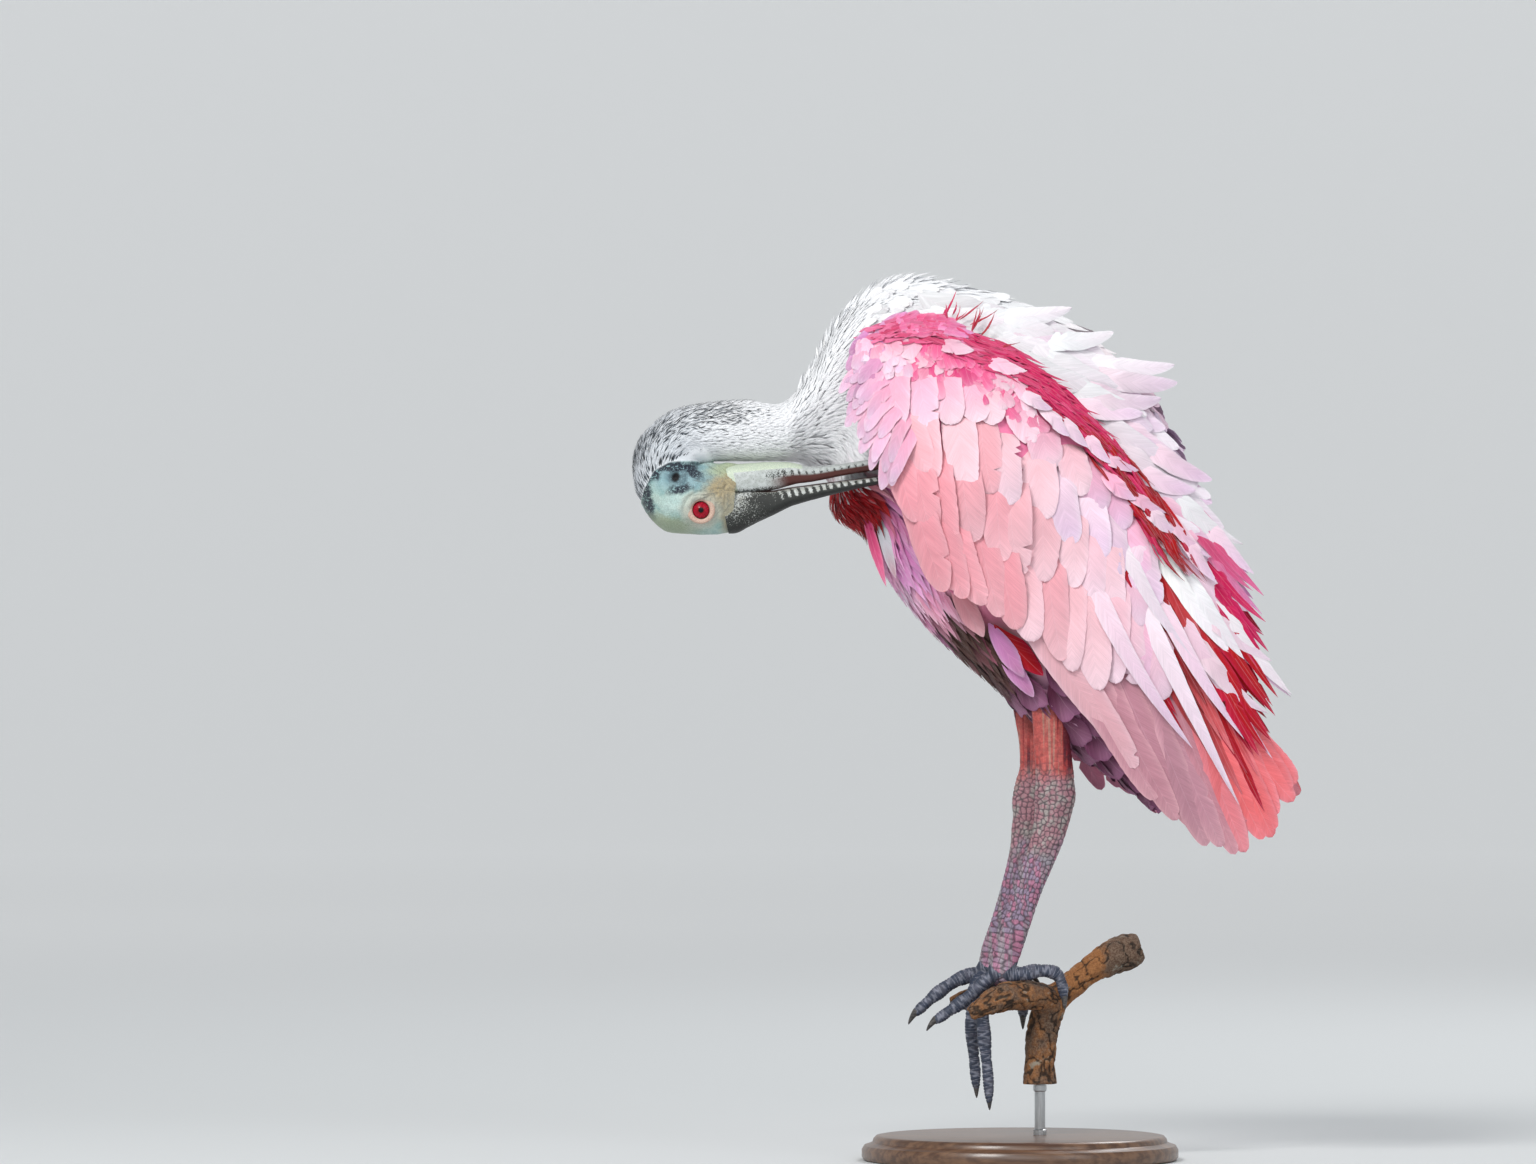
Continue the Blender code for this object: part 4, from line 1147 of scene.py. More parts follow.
COVERT = Vane(
    Outline.ROUND, stations=34, columns=7, roll=7.5, wander=3, sweep=0.2, camber=0.1, fray=0.018, splits=0.02,
    mottle=0.04,
)
TILE = Vane(Outline.ROUND, stations=24, columns=7, roll=2.0, camber=0.04, fray=0.014, splits=0.01, wander=3)
SMALL = Vane(Outline.ROUND, stations=14, columns=5, roll=2.5, camber=0.16, fray=0.03, splits=0.02, wander=4)
FLIGHT = Vane(Outline.LONG, stations=42, columns=7, roll=5.0, sweep=0.25, camber=0.1, fray=0.012, splits=0.02)
BLADE = Vane(Outline.LANCE, stations=36, columns=7, fray=0.014, splits=0.01, wander=6, sweep=1.1)
PLUME = Vane(
    Outline.BLUNT, stations=30, columns=7, wander=7, sweep=0.8, camber=0.14, fray=0.014, splits=0.012,
)
MARGIN = Vane(Outline.BLUNT, stations=20, columns=7, roll=3, wander=3, sweep=0.7, fray=0.02, splits=0.02)
HAIR = Vane(Outline.HACKLE, stations=9, columns=3, thick=0.3, fray=0.1, splits=0, wander=12, sweep=0.6)
WISP = Vane(Outline.HACKLE, stations=12, columns=3, fray=0.2, splits=0.2, wander=14, sweep=1.0)
TUFT = Vane(
    Outline.HACKLE, stations=4, columns=3, thick=0.2, camber=0.05, roll=0, fray=0.1, splits=0, wander=3,
    ripple=0, mottle=0.02,
)


@dataclass(frozen=True)
class Row:
    """One row of wing feathers, as a line of roots and a line of tips, each (x, z).

    The rows start at the belly's edge and end at the back. The tones run the same way.
    """

    name: str
    vane: Vane
    roots: tuple[tuple[float, float], ...]
    tips: tuple[tuple[float, float], ...]
    count: int
    half: float
    rise: tuple[float, float]
    tones: tuple[Tone, ...]
    stray: float = 2.2
    bend: float = 3.0
    curl: float = 0.0
    layers: int = 1
    layer_step: tuple[float, float, float] = (0.0, 0.0, 0.0)
    blend: float = 0.12

    def build(self, dome: WingDome, seed: int) -> Solid:
        """Makes the row's feathers over a dome.

        Args:
            dome: The wing's dome.
            seed: The draw's seed.

        Returns:
            The row as one.
        """
        draw = np.random.default_rng(seed)
        total = self.count * self.layers
        layer = np.repeat(np.arange(self.layers), self.count)
        share = np.tile(np.arange(self.count), self.layers) + 0.5 * (layer % 2)
        share = share / (self.count - (0.5 if self.layers > 1 else 1))
        shift = np.array(self.layer_step[:2]) * layer[:, None]
        root = along(self.roots, share) + draw.normal(0, self.stray * 0.6, (total, 2)) + shift
        tip = along(self.tips, share) + draw.normal(0, self.stray, (total, 2)) + shift
        run = tip - root
        bow = np.stack([run[:, 1], -run[:, 0]], axis=-1) / np.linalg.norm(run, axis=-1)[:, None]
        bow = bow * (self.bend + draw.normal(0, 1, total) * self.bend * 0.5)[:, None]
        part = self.vane.shares()[None, :, None]
        spots = root[:, None] + run[:, None] * part + bow[:, None] * 4 * part * (1 - part)
        low, high = self.rise
        rise = low + (high - low) * np.minimum(1, part[..., 0] * 2) + self.curl * part[..., 0] ** 4
        rise = rise + (layer * self.layer_step[2])[:, None] + draw.normal(0, 0.16, (total, 1))
        points, outs = dome.sample(spots[..., 0], spots[..., 1], rise)
        table = np.array([tone.numbers().ravel() for tone in self.tones])
        pick = np.clip(share + draw.normal(0, self.blend, total), 0, 1)
        tones = along(table, pick) if len(table) > 1 else np.repeat(table, total, axis=0)
        tones = np.clip(tones, 0, 1).reshape(total, 4, 3)
        half = self.half * draw.uniform(0.88, 1.12, total)
        return self.vane.build(points, outs, half, tones, dome.unwrap(root), seed + 1, dome.side)


PALE_PINK = Tone(Hue.SHELL, Hue.BLUSH, Hue.BLUSH, Hue.ROSE)
SOFT_ROSE = Tone(Hue.ROSE, Hue.BLUSH, Hue.BLUSH, Hue.ROSE)
SHELL_VANE = Tone(Hue.SHELL, Hue.SHELL, Hue.BLUSH, Hue.ROSE)
SALMON_VANE = Tone(Hue.SALMON, Hue.SHELL, Hue.SHELL, Hue.CORAL)
DEEP_SALMON = Tone(Hue.SALMON, Hue.SALMON, Hue.SHELL, Hue.CORAL)
CORAL_VANE = Tone(Hue.CORAL, Hue.CORAL, Hue.SALMON, Hue.MAUVE)
LILAC_VANE = Tone(Hue.ROSE, Hue.LILAC, Hue.BLUSH, Hue.LILAC)
ORCHID_VANE = Tone(Hue.PINK, Hue.ORCHID, Hue.LILAC, Hue.ORCHID)
DUSTY_VANE = Tone(Hue.DUSK, Hue.DUSK, Hue.SHELL, Hue.MAUVE)
WHITE_BLADE = Tone(Hue.BLUSH, Hue.LILAC, Hue.FROST, Hue.FROST)
PURE_BLADE = Tone(Hue.SNOW, Hue.FROST, Hue.SNOW, Hue.FROST)
UNDER_MAUVE = Tone(Hue.SHELL, Hue.ROSE, Hue.ROSE, Hue.ROSE)
UNDER_CORAL = Tone(Hue.SALMON, Hue.CORAL, Hue.CORAL, Hue.SALMON)
PINK_WISP = Tone(Hue.PINK, Hue.MAGENTA, Hue.PINK, Hue.MAGENTA)
CARMINE_WISP = Tone(Hue.CARMINE, Hue.CARMINE, Hue.MAGENTA, Hue.CRIMSON)
CRIMSON_WISP = Tone(Hue.CRIMSON, Hue.BLOOD, Hue.CRIMSON, Hue.BLOOD)
ROSE_WISP = Tone(Hue.CARMINE, Hue.MAGENTA, Hue.PINK, Hue.CARMINE)
CRIMSON_BLADE = Tone(Hue.CRIMSON, Hue.CRIMSON, Hue.CARMINE, Hue.CRIMSON)
# Painted shade: a dark wine root, so each undertail tile reads darker where its neighbour overlaps it.
TILE_SHADED_VANE = Tone(Hue.WINE, Hue.MAUVE, Hue.PLUM, Hue.PLUM)
CORAL_BLADE = Tone(Hue.CRIMSON, Hue.CORAL, Hue.SALMON, Hue.CRIMSON)
MAGENTA_TUFT = Tone(Hue.MAGENTA, Hue.PINK, Hue.ROSE, Hue.CARMINE)
MAUVE_FRINGE = Tone(Hue.ORCHID, Hue.MAUVE, Hue.LILAC, Hue.MAUVE)

CRIMSON_UNDER = Row(
    "crimson_under", BLADE, roots=((34, 420), (58, 402), (82, 380)),
    tips=((84, 322), (112, 286), (140, 262)), count=9, half=5.0, rise=(-1.0, 5.0), stray=3.0,
    tones=(CRIMSON_BLADE, CRIMSON_WISP, CORAL_BLADE, CRIMSON_BLADE), layers=4, layer_step=(2.0, -16.0, -1.0),
)
GREATER_LOW = Row(
    "greater_low", COVERT, roots=((-70, 424), (-20, 402), (40, 384), (70, 370)),
    tips=((-44, 343), (-4, 319), (44, 290), (86, 282)), count=13, half=11.5, rise=(-1.5, 4.6),
    tones=(DEEP_SALMON, SALMON_VANE, PALE_PINK, LILAC_VANE), curl=-1.2,
)
GREATER_HIGH = Row(
    "greater_high", COVERT, roots=((-76, 456), (-30, 438), (20, 416), (58, 398)),
    tips=((-62, 384), (-22, 366), (24, 342), (72, 322)), count=11, half=11.0, rise=(-1.5, 6.0),
    tones=(DEEP_SALMON, SALMON_VANE, PALE_PINK, LILAC_VANE), curl=-1.2,
)
TERTIALS = Row(
    "tertials", BLADE,
    roots=((24, 396), (40, 400), (40, 420), (56, 392), (66, 398), (70, 376), (84, 384), (88, 372)),
    tips=((101, 250), (127, 216), (101, 300), (129, 254), (128, 299), (147, 242), (158, 279), (132, 330)),
    count=8, half=5.2, rise=(-1.0, 7.4),
    tones=(WHITE_BLADE, WHITE_BLADE, PURE_BLADE, LILAC_VANE, WHITE_BLADE),
    stray=1.0, bend=5.0,
)
MEDIAN_LOW = Row(
    "median_low", COVERT, roots=((-82, 474), (-46, 470), (-4, 450), (36, 426), (62, 404)),
    tips=((-73, 420), (-34, 404), (4, 390), (48, 356), (80, 332)), count=12, half=10.5, rise=(-1.5, 7.4),
    tones=(DEEP_SALMON, SHELL_VANE, PALE_PINK, WHITE_BLADE, LILAC_VANE), curl=-1.2,
)
MEDIAN_HIGH = Row(
    "median_high", COVERT, roots=((-84, 492), (-56, 490), (-20, 474), (20, 448), (48, 428)),
    tips=((-86, 440), (-50, 436), (-14, 440), (24, 404), (62, 376)), count=11, half=10.5, rise=(-1.5, 8.8),
    tones=(LILAC_VANE, SOFT_ROSE, SOFT_ROSE, PALE_PINK, LILAC_VANE), curl=-1.2,
)
LESSER = Row(
    "lesser", SMALL, roots=((-86, 496), (-62, 498), (-34, 486), (-6, 470)),
    tips=((-94, 476), (-64, 476), (-32, 468), (4, 450)), count=22, half=5.2, rise=(0.5, 10.2),
    tones=(LILAC_VANE, SOFT_ROSE, MAGENTA_TUFT, MAGENTA_TUFT, SOFT_ROSE), layers=4,
    layer_step=(1.2, -4.6, -0.5), stray=2.6,
)
MARGINAL = Row(
    "marginal", MARGIN, roots=((-78, 500), (-80, 482), (-76, 460), (-68, 438)),
    tips=((-98, 480), (-103, 458), (-97, 434), (-80, 400)), count=12, half=5.4, rise=(2.0, 8.4),
    tones=(MAUVE_FRINGE, LILAC_VANE, LILAC_VANE), layers=3, layer_step=(4.6, 2.6, 0.9), stray=1.6, bend=1.5,
)
SHOULDER = Row(
    "shoulder", SMALL, roots=((-82, 499), (-66, 504), (-52, 501)),
    tips=((-66, 502), (-48, 499), (-34, 491)), count=9, half=3.6, rise=(4.0, 13.0),
    tones=(ORCHID_VANE, MAGENTA_TUFT, ORCHID_VANE), layers=3, layer_step=(1.0, -2.6, -0.2), stray=1.6,
    curl=-1.0,
)
BAND = Row(
    "band", WISP,
    roots=(
        (-100, 488), (-84, 493), (-63, 494), (-41, 483), (-19, 475), (1, 461), (19, 445), (39, 427),
        (57, 405), (74, 384),
    ),
    tips=(
        (-77, 491), (-57, 490), (-35, 479), (-13, 470), (7, 456), (25, 439), (43, 420), (59, 398),
        (76, 372), (96, 340),
    ),
    count=58, half=1.8, rise=(3.0, 11.4), layers=5, layer_step=(1.9, 1.9, 0.35), stray=2.6, bend=2.5,
    tones=(PINK_WISP, ROSE_WISP, ROSE_WISP, CARMINE_WISP, CARMINE_WISP, CRIMSON_WISP, CRIMSON_WISP),
    blend=0.12,
)
BRISTLES = Row(
    "bristles", WISP, roots=((-50, 498), (-38, 494), (-24, 487)),
    tips=((-50, 506), (-32, 504), (-12, 490)), count=15, half=0.6, rise=(9.0, 14.0),
    tones=(CARMINE_WISP, CRIMSON_WISP), stray=4.6, bend=0.8,
)
BAND_BLADES = Row(
    "band_blades", BLADE,
    roots=(
        (-54, 494), (-30, 483), (-6, 462), (6, 454), (12, 447), (24, 442), (36, 428), (44, 420), (56, 410),
        (66, 402), (76, 400), (84, 388),
    ),
    tips=(
        (-31, 476), (-3, 467), (12, 444), (24, 430), (33, 425), (48, 414), (64, 409), (62, 392), (80, 386),
        (88, 374), (106, 361), (110, 344),
    ),
    count=12, half=4.4, rise=(6.0, 13.2), tones=(SOFT_ROSE, WHITE_BLADE, LILAC_VANE, WHITE_BLADE), stray=1.2,
)
SCAPULARS = Row(
    "scapulars", PLUME,
    roots=((-66, 508), (-32, 501), (2, 482), (30, 457), (55, 424), (76, 392)),
    tips=((-8, 498), (34, 476), (66, 446), (92, 406), (112, 366), (126, 328)), count=13, half=9.4,
    rise=(-1.0, 6.4), tones=(PURE_BLADE, PURE_BLADE, WHITE_BLADE, PURE_BLADE, WHITE_BLADE, LILAC_VANE),
    stray=4.2, bend=5.0, curl=1.0, layers=3, layer_step=(2.0, 4.0, -1.2),
)
BACK_SCAPULARS = Row(
    "back_scapulars", PLUME,
    roots=((-42, 505), (-8, 496), (18, 486), (20, 477), (18, 466), (12, 458), (60, 442), (54, 430)),
    tips=((26, 506), (50, 491), (85, 471), (86, 462), (77, 453), (66, 446), (108, 406), (100, 400)),
    count=8, half=6.6, rise=(-1.0, 8.6), tones=(PURE_BLADE, PURE_BLADE, WHITE_BLADE, WHITE_BLADE), stray=1.2,
    bend=5.0, curl=1.0,
)
LONG_SCAPULARS = Row(
    "long_scapulars", BLADE,
    roots=((76, 422), (68, 396), (86, 402), (82, 374), (94, 370), (90, 352), (94, 336)),
    tips=((125, 368), (108, 360), (134, 350), (128, 301), (158, 279), (146, 300), (142, 268)),
    count=7, half=6.2, rise=(-1.0, 8.6), tones=(PURE_BLADE, WHITE_BLADE, PURE_BLADE, LILAC_VANE), stray=1.2,
    bend=5.0, curl=1.0,
)
EDGE_BLADES = Row(
    "edge_blades", BLADE, roots=((84, 410), (92, 388), (98, 368), (102, 350), (104, 330), (102, 312)),
    tips=((133, 350), (139, 326), (143, 302), (146, 280), (147, 260), (143, 242)), count=17, half=3.9,
    rise=(0.0, 8.4), tones=(ORCHID_VANE, ROSE_WISP, CARMINE_WISP, CRIMSON_BLADE, CRIMSON_BLADE), stray=2.0,
)
NEAR_REMIGES = Row(
    "remiges", FLIGHT, roots=((-8, 352), (40, 330), (84, 330), (98, 312), (102, 300)),
    tips=((58, 252), (102, 196), (130, 186), (152, 202), (165, 226)), count=17, half=9.0, rise=(-1.5, 1.4),
    tones=(SHELL_VANE, DUSTY_VANE, DUSTY_VANE, CORAL_VANE, CORAL_VANE, CORAL_VANE), blend=0.03,
)
FAR_REMIGES = Row(
    "remiges", FLIGHT, roots=((-8, 352), (40, 330), (84, 330), (98, 310)),
    tips=((50, 226), (104, 200), (147, 204), (166, 226)), count=20, half=8.4, rise=(-1.5, 1.4),
    tones=(UNDER_MAUVE, UNDER_MAUVE, UNDER_CORAL, UNDER_CORAL), blend=0.03,
)


@dataclass
class Wing:
    """A folded wing: its shell, and its rows of feathers."""

    name: str
    dome: WingDome
    flight: tuple[Row, ...]
    long_blades: tuple[Row, ...] = ()
    thickness: float = 4.4
    filling: tuple[float, ...] = (0.5, 2.6, 4.4, 6.6, 8.2)
    belly_edge: tuple[tuple[float, float], ...] = (
        (-80, 490), (-78, 456), (-66, 416), (-40, 380), (-4, 350), (36, 314), (70, 272), (88, 244),
    )
    back_edge: tuple[tuple[float, float], ...] = (
        (-62, 497), (-29, 485), (14, 456), (47, 422), (74, 382), (93, 336), (104, 288), (102, 252),
    )

    def build(self, feather: bpy.types.Material, down: bpy.types.Material) -> None:
        """Makes the wing's pieces.

        Args:
            feather: The vanes' finish.
            down: The shell's finish.
        """
        add_piece(f"{self.name}_shell", self._shell(), down, [self.name])
        groups = {
            "flight": self.flight,
            "coverts": (GREATER_LOW, GREATER_HIGH, MEDIAN_LOW, MEDIAN_HIGH, LESSER, MARGINAL),
            "scapulars": (BAND, BAND_BLADES, SCAPULARS, SHOULDER, BRISTLES, EDGE_BLADES, *self.long_blades),
        }
        seed = 100 if self.dome.side < 0 else 200
        for group, rows in groups.items():
            solids = [row.build(self.dome, seed + 7 * k) for k, row in enumerate(rows)]
            add_piece(f"{self.name}_{group}", together(solids), feather)
            seed += 50

    def _shell(self) -> Solid:
        """The wing's own flesh and down, which fill the hollow under its feathers."""
        steps, across = np.linspace(0, 1, 60), np.linspace(0, 1, 24)
        low, high = along(self.belly_edge, steps)[:, None], along(self.back_edge, steps)[:, None]
        spots = low + (high - low) * across[None, :, None]
        thick = self.thickness * (0.3 + 0.6 * np.sin(math.pi * across)) * np.ones((60, 1))
        fade = (1 - soft_step(steps, 0.3, 0.62))[:, None]
        fill = np.interp(across, (0, 0.3, 0.5, 0.75, 1), self.filling) * fade
        outer, _ = self.dome.sample(spots[..., 0], spots[..., 1], fill - 0.6)
        inner, _ = self.dome.sample(spots[..., 0], spots[..., 1], -0.6 - thick)
        rings = np.concatenate([outer, inner[:, ::-1]], axis=1)[None]
        tint = np.broadcast_to(Hue.PINK.linear, rings.shape).copy()
        return lofts(rings, {"tint": tint})


@dataclass(frozen=True)
class Spot:
    """A soft round patch of colour on the plumage, by its middle (x, z)."""

    x: float
    z: float
    radius: float
    hue: Hue
    strength: float = 1.3


# The two umber spots darken the belly's lower edge: part dirt, part painted shade.
BODY_SPOTS = (
    Spot(60, 446, 40, Hue.LILAC), Spot(100, 400, 40, Hue.BLUSH), Spot(128, 340, 36, Hue.LILAC),
    Spot(124, 310, 24, Hue.ORCHID), Spot(112, 250, 30, Hue.CORAL), Spot(84, 236, 22, Hue.SALMON),
    Spot(-60, 366, 32, Hue.PINK, 1.5), Spot(-56, 340, 20, Hue.ROSE),
    Spot(-78, 352, 10, Hue.CLOUD, 0.8), Spot(-24, 318, 20, Hue.PINK), Spot(-20, 299, 21, Hue.UMBER, 2.2),
    Spot(20, 268, 28, Hue.MAUVE), Spot(-44, 322, 14, Hue.UMBER, 1.5), Spot(60, 240, 20, Hue.MAUVE),
    Spot(-66, 382, 26, Hue.ORCHID, 2.2), Spot(-105, 391, 14, Hue.CRIMSON, 2.6),
    Spot(-101, 386, 9, Hue.BLOOD, 1.4),
)


@dataclass
class Plumage:
    """The feathers on the torso, neck and head, in tracts that run toward the tail."""

    form: BodyForm
    feather: bpy.types.Material
    soft: bpy.types.Material
    feather_line: tuple[tuple[float, float], ...] = (
        (-250, 376), (-236, 380), (-229, 388), (-225, 402), (-219, 413), (-210, 418), (-196, 419.5),
        (-180, 420), (-166, 423), (-150, 426),
    )
    ruffle: tuple[float, ...] = (4, 5, 7, 12, 20, 22, 11, 6, 4)

    def bareness(self, points: Array) -> Array:
        """How far points lie into the head's bare skin, in millimetres."""
        line = np.array(self.feather_line)
        return np.interp(points[..., 0], line[:, 0], line[:, 1]) - points[..., 2]

    def colours(self, points: Array, place: Array) -> Array:
        """The plumage's colour at points, by patches of colour and by how near the head they are."""
        colour = np.broadcast_to(Hue.SHELL.linear, points.shape)
        over, up = points[..., 0], points[..., 2]
        back = soft_step(up - 0.3 * over, 432, 486) * soft_step(-over, -96, 30)
        white = np.maximum(soft_step(place, 5.7, 6.6), back)[..., None]
        colour = colour * (1 - white) + Hue.SNOW.linear * white
        ragged = 1 + 0.5 * grain(points, 17.0, 2.0)
        for spot in BODY_SPOTS:
            away = np.hypot(points[..., 0] - spot.x, points[..., 2] - spot.z) / spot.radius * ragged
            share = np.clip(spot.strength * np.exp(-(away**2)), 0, 1)[..., None]
            colour = colour * (1 - share) + spot.hue.linear * share
        grey = soft_step(place, 11.0, 14.0)[..., None] * 0.6
        return colour * (1 - grey) + Hue.CLOUD.linear * grey

    def tones(self, roots: Array, points: Array, draw: np.random.Generator) -> Array:
        """Four rows of colour for each feather: root, tip, edge and underside."""
        base = self.colours(points, roots[:, 0])
        light = soft_step(base.mean(axis=1, keepdims=True), 0.1, 0.7)
        fade = draw.uniform(0.15, 0.6, (len(base), 1)) * light
        pale = base + (Hue.SNOW.linear - base) * fade
        rows = np.stack([base**1.3, base + (pale - base) * 0.6, pale, base * 0.92], axis=1)
        return np.clip(rows, 0, 1)

    def unwrap(self, roots: Array) -> Array:
        """The coat map's places of roots: round the form and along it."""
        run = 0.02 + 0.96 * roots[:, 0] / self.form.last
        return np.stack([(roots[:, 1] / 360 + 0.5) % 1.0, run], axis=-1)

    def tract(
        self, name: str, vane: Vane, roots: Array, length: Array, half: Array, heading: Array,
        rise: tuple[Any, Any], seed: int, tones: Array | None = None,
        power: float = 1.0, tilt: float = 0.0,
    ) -> None:
        """Adds one tract of feathers.

        Args:
            name: The piece's name.
            vane: The kind of feather.
            roots: Each root's place and angle.
            length: Each feather's length.
            half: Each feather's half width.
            heading: Each feather's turn from straight toward the tail, in degrees.
            rise: How far roots and tips stand off.
            seed: The draw's seed.
            tones: Each feather's colours, if not the plumage's own.
            power: Above 1 lifts mostly near the tip.
            tilt: How far the feathers turn their faces out to the bird's sides.
        """
        draw = np.random.default_rng(seed)
        if tones is None:
            tones = self.tones(roots, self.form.point(roots[:, 0], roots[:, 1]), draw)
        line, outs = self.form.strands(roots, length, heading, rise, vane.shares(), power)
        outs = outs + (tilt * np.tanh(roots[:, 1] / 10))[:, None, None] * ACROSS
        solid = vane.build(line, outs, half, tones, self.unwrap(roots), seed)
        add_piece(name, solid, self.soft if vane in (TUFT, HAIR) else self.feather)

    def build(self) -> None:
        """Makes every tract."""
        self._mantle()
        self._breast()
        self._undertail()
        self._hackles()
        self._neck("neck_base", (6.5, 10.2), 1.85, 31)
        self._neck("neck_upper", (9.9, 13.4), 1.3, 36)
        self._nape()
        self._plumes()

    def _mantle(self) -> None:
        """Broad soft feathers down the back, with a looser layer ruffled off its ridge."""
        for name, spacing, reach, lift, seed in (
            ("mantle_feathers", 6.4, 78, 0.3, 11), ("mantle_ruffle", 6.2, 46, 1.0, 15),
        ):
            roots = self.form.scatter((1.3, 7.7), (-reach, reach), spacing, seed)
            draw = np.random.default_rng(seed + 1)
            place, count = roots[:, 0], len(roots)
            side = 1 - 0.8 * (np.abs(roots[:, 1]) / reach) ** 2
            length = np.interp(place, (1, 3, 5, 6.5, 8), (54, 54, 46, 27, 16)) * draw.uniform(0.8, 1.15, count)
            tip = along(np.array(self.ruffle)[:, None], place / 8)[:, 0] * side * draw.uniform(0.7, 1.0, count)
            half = np.interp(place, (1, 4, 6, 8), (9.6, 8.6, 5.2, 3.0)) * draw.uniform(0.8, 1.2, count)
            heading = draw.normal(0, 5, count) + np.sign(roots[:, 1]) * 6 * (place < 5.5)
            rise = (-1.5, np.maximum(tip * lift, 2.8))
            self.tract(name, MANTLE_VANE, roots, length, half, heading, rise, seed + 2, power=0.9, tilt=0.9)

    def _hackles(self) -> None:
        """A fringe of narrow feathers that stand up along the neck's base and the shoulders."""
        roots = self.form.scatter((4.6, 9.6), (-16, 16), 2.4, 18)
        draw = np.random.default_rng(19)
        count = len(roots)
        length = np.interp(roots[:, 0], (4.6, 7, 9.6), (26, 17, 9)) * draw.uniform(0.8, 1.2, count)
        stand = np.interp(roots[:, 0], (4.6, 7, 9.6), (9.0, 7.5, 3.0)) * draw.uniform(0.5, 1.2, count)
        half = draw.uniform(1.0, 1.7, count)
        turn = draw.normal(0, 9, count)
        self.tract("ridge_hackles", HAIR, roots, length, half, turn, (-1.0, stand), 20, tilt=0.9)

    def _breast(self) -> None:
        """Small feathers over the breast, belly, flanks and rump."""
        roots = self.form.scatter((0.2, 7.3), (60, 300), 4.3, 21, self._open)
        draw = np.random.default_rng(22)
        count = len(roots)
        length = np.interp(roots[:, 0], (0, 3, 5, 7), (24, 24, 22, 16)) * draw.uniform(0.85, 1.2, count)
        half = length * 0.13 * draw.uniform(0.85, 1.15, count)
        self.tract("breast_feathers", HAIR, roots, length, half, draw.normal(0, 7, count), (-1.2, 2.6), 23)

        def bloody(_: Array, points: Array) -> Array:
            away = np.hypot((points[:, 0] + 106) / 14, (points[:, 2] - 391) / 12)
            return draw.random(len(away)) < 1.45 - away

        roots = self.form.scatter((4.6, 7.7), (120, 300), 1.9, 24, bloody)
        count = len(roots)
        tones = CRIMSON_WISP.numbers()[None] * draw.uniform(0.5, 1.3, (count, 1, 1))
        length, half = draw.uniform(8, 12, count), draw.uniform(0.7, 1.1, count)
        self.tract("breast_red", HAIR, roots, length, half, draw.normal(0, 10, count), (0.4, 4.2), 25, tones)

    def _undertail(self) -> None:
        """Broad dark-edged feathers under the tail's root, laid like tiles, each with painted shade darkening
        its root where its neighbour overlaps it.
        """
        row, column = (grid.ravel() for grid in np.meshgrid(np.arange(7), np.arange(6), indexing="ij"))
        roots = np.stack([1.95 - 0.34 * row, -118.0 - 25.0 * column - 12.0 * (row % 2)], axis=-1)
        draw = np.random.default_rng(27)
        count = len(roots)
        tones = np.repeat(TILE_SHADED_VANE.numbers()[None], count, axis=0)
        length, half = draw.uniform(24, 28, count), draw.uniform(9.5, 11, count)
        self.tract("undertail", TILE, roots, length, half, draw.normal(0, 4, count), (-0.6, 4.2), 28, tones)

    def _open(self, _: Array, points: Array) -> Array:
        """Which roots no wing covers."""
        dome = WingDome(-1, 0.0)
        over, up = points[:, 0] - dome.middle[0], points[:, 2] - dome.middle[1]
        a = (over * dome.way[0] + up * dome.way[1]) / dome.length
        b = (-over * dome.way[1] + up * dome.way[0]) / dome.breadth
        return (a / 0.62) ** 2 + (b / 0.5) ** 2 > 1

    def _neck(self, name: str, places: tuple[float, float], spacing: float, seed: int) -> None:
        """Short soft white feathers round part of the neck."""
        roots = self.form.scatter(places, (-180, 180), spacing, seed)
        draw = np.random.default_rng(seed + 1)
        count = len(roots)
        length = np.interp(roots[:, 0], (6.5, 8, 9.5, 11, 13.3), (15, 12, 8, 6, 5.4))
        length = length * draw.uniform(0.8, 1.2, count)
        stand = np.interp(roots[:, 0], (6.5, 8.5, 10, 13), (1.2, 1.0, 0.5, 0.5))
        back = np.exp(-((roots[:, 1] / 45) ** 2)) * np.interp(roots[:, 0], (6.5, 9, 10), (1.6, 1.0, 0))
        self.tract(
            name, TUFT, roots, length, length * 0.10 + 0.4, draw.normal(0, 5, count),
            (-0.8, stand * (0.8 + back)), seed + 2,
        )

    def _nape(self) -> None:
        """Hair-like feathers on the crown's back, nape and cheek, dark-tipped in streaks."""
        def feathered(_: Array, points: Array) -> Array:
            return self.bareness(points) < 0.6

        roots = self.form.scatter((12.9, 19.6), (-180, 180), 1.05, 41, feathered)
        draw = np.random.default_rng(42)
        points, count = self.form.point(roots[:, 0], roots[:, 1]), len(roots)
        tones = self.tones(roots, points, draw)
        x, z = points[:, 0], points[:, 2]
        edge = soft_step(-x, 214, 226) * 0.2
        rim = np.exp(-((self.bareness(points) / 2.4) ** 2)) * 0.55
        dark = draw.random(count) < edge + rim + 0.04
        tones[dark] = Hue.SLATE.linear * draw.uniform(0.12, 0.9, (dark.sum(), 1, 1))
        length = draw.uniform(3.6, 6.0, count)
        self.tract(
            "nape_down", TUFT, roots, length, draw.uniform(0.4, 0.6, count), draw.normal(0, 7, count),
            (-0.8, 0.9), 43, tones,
        )

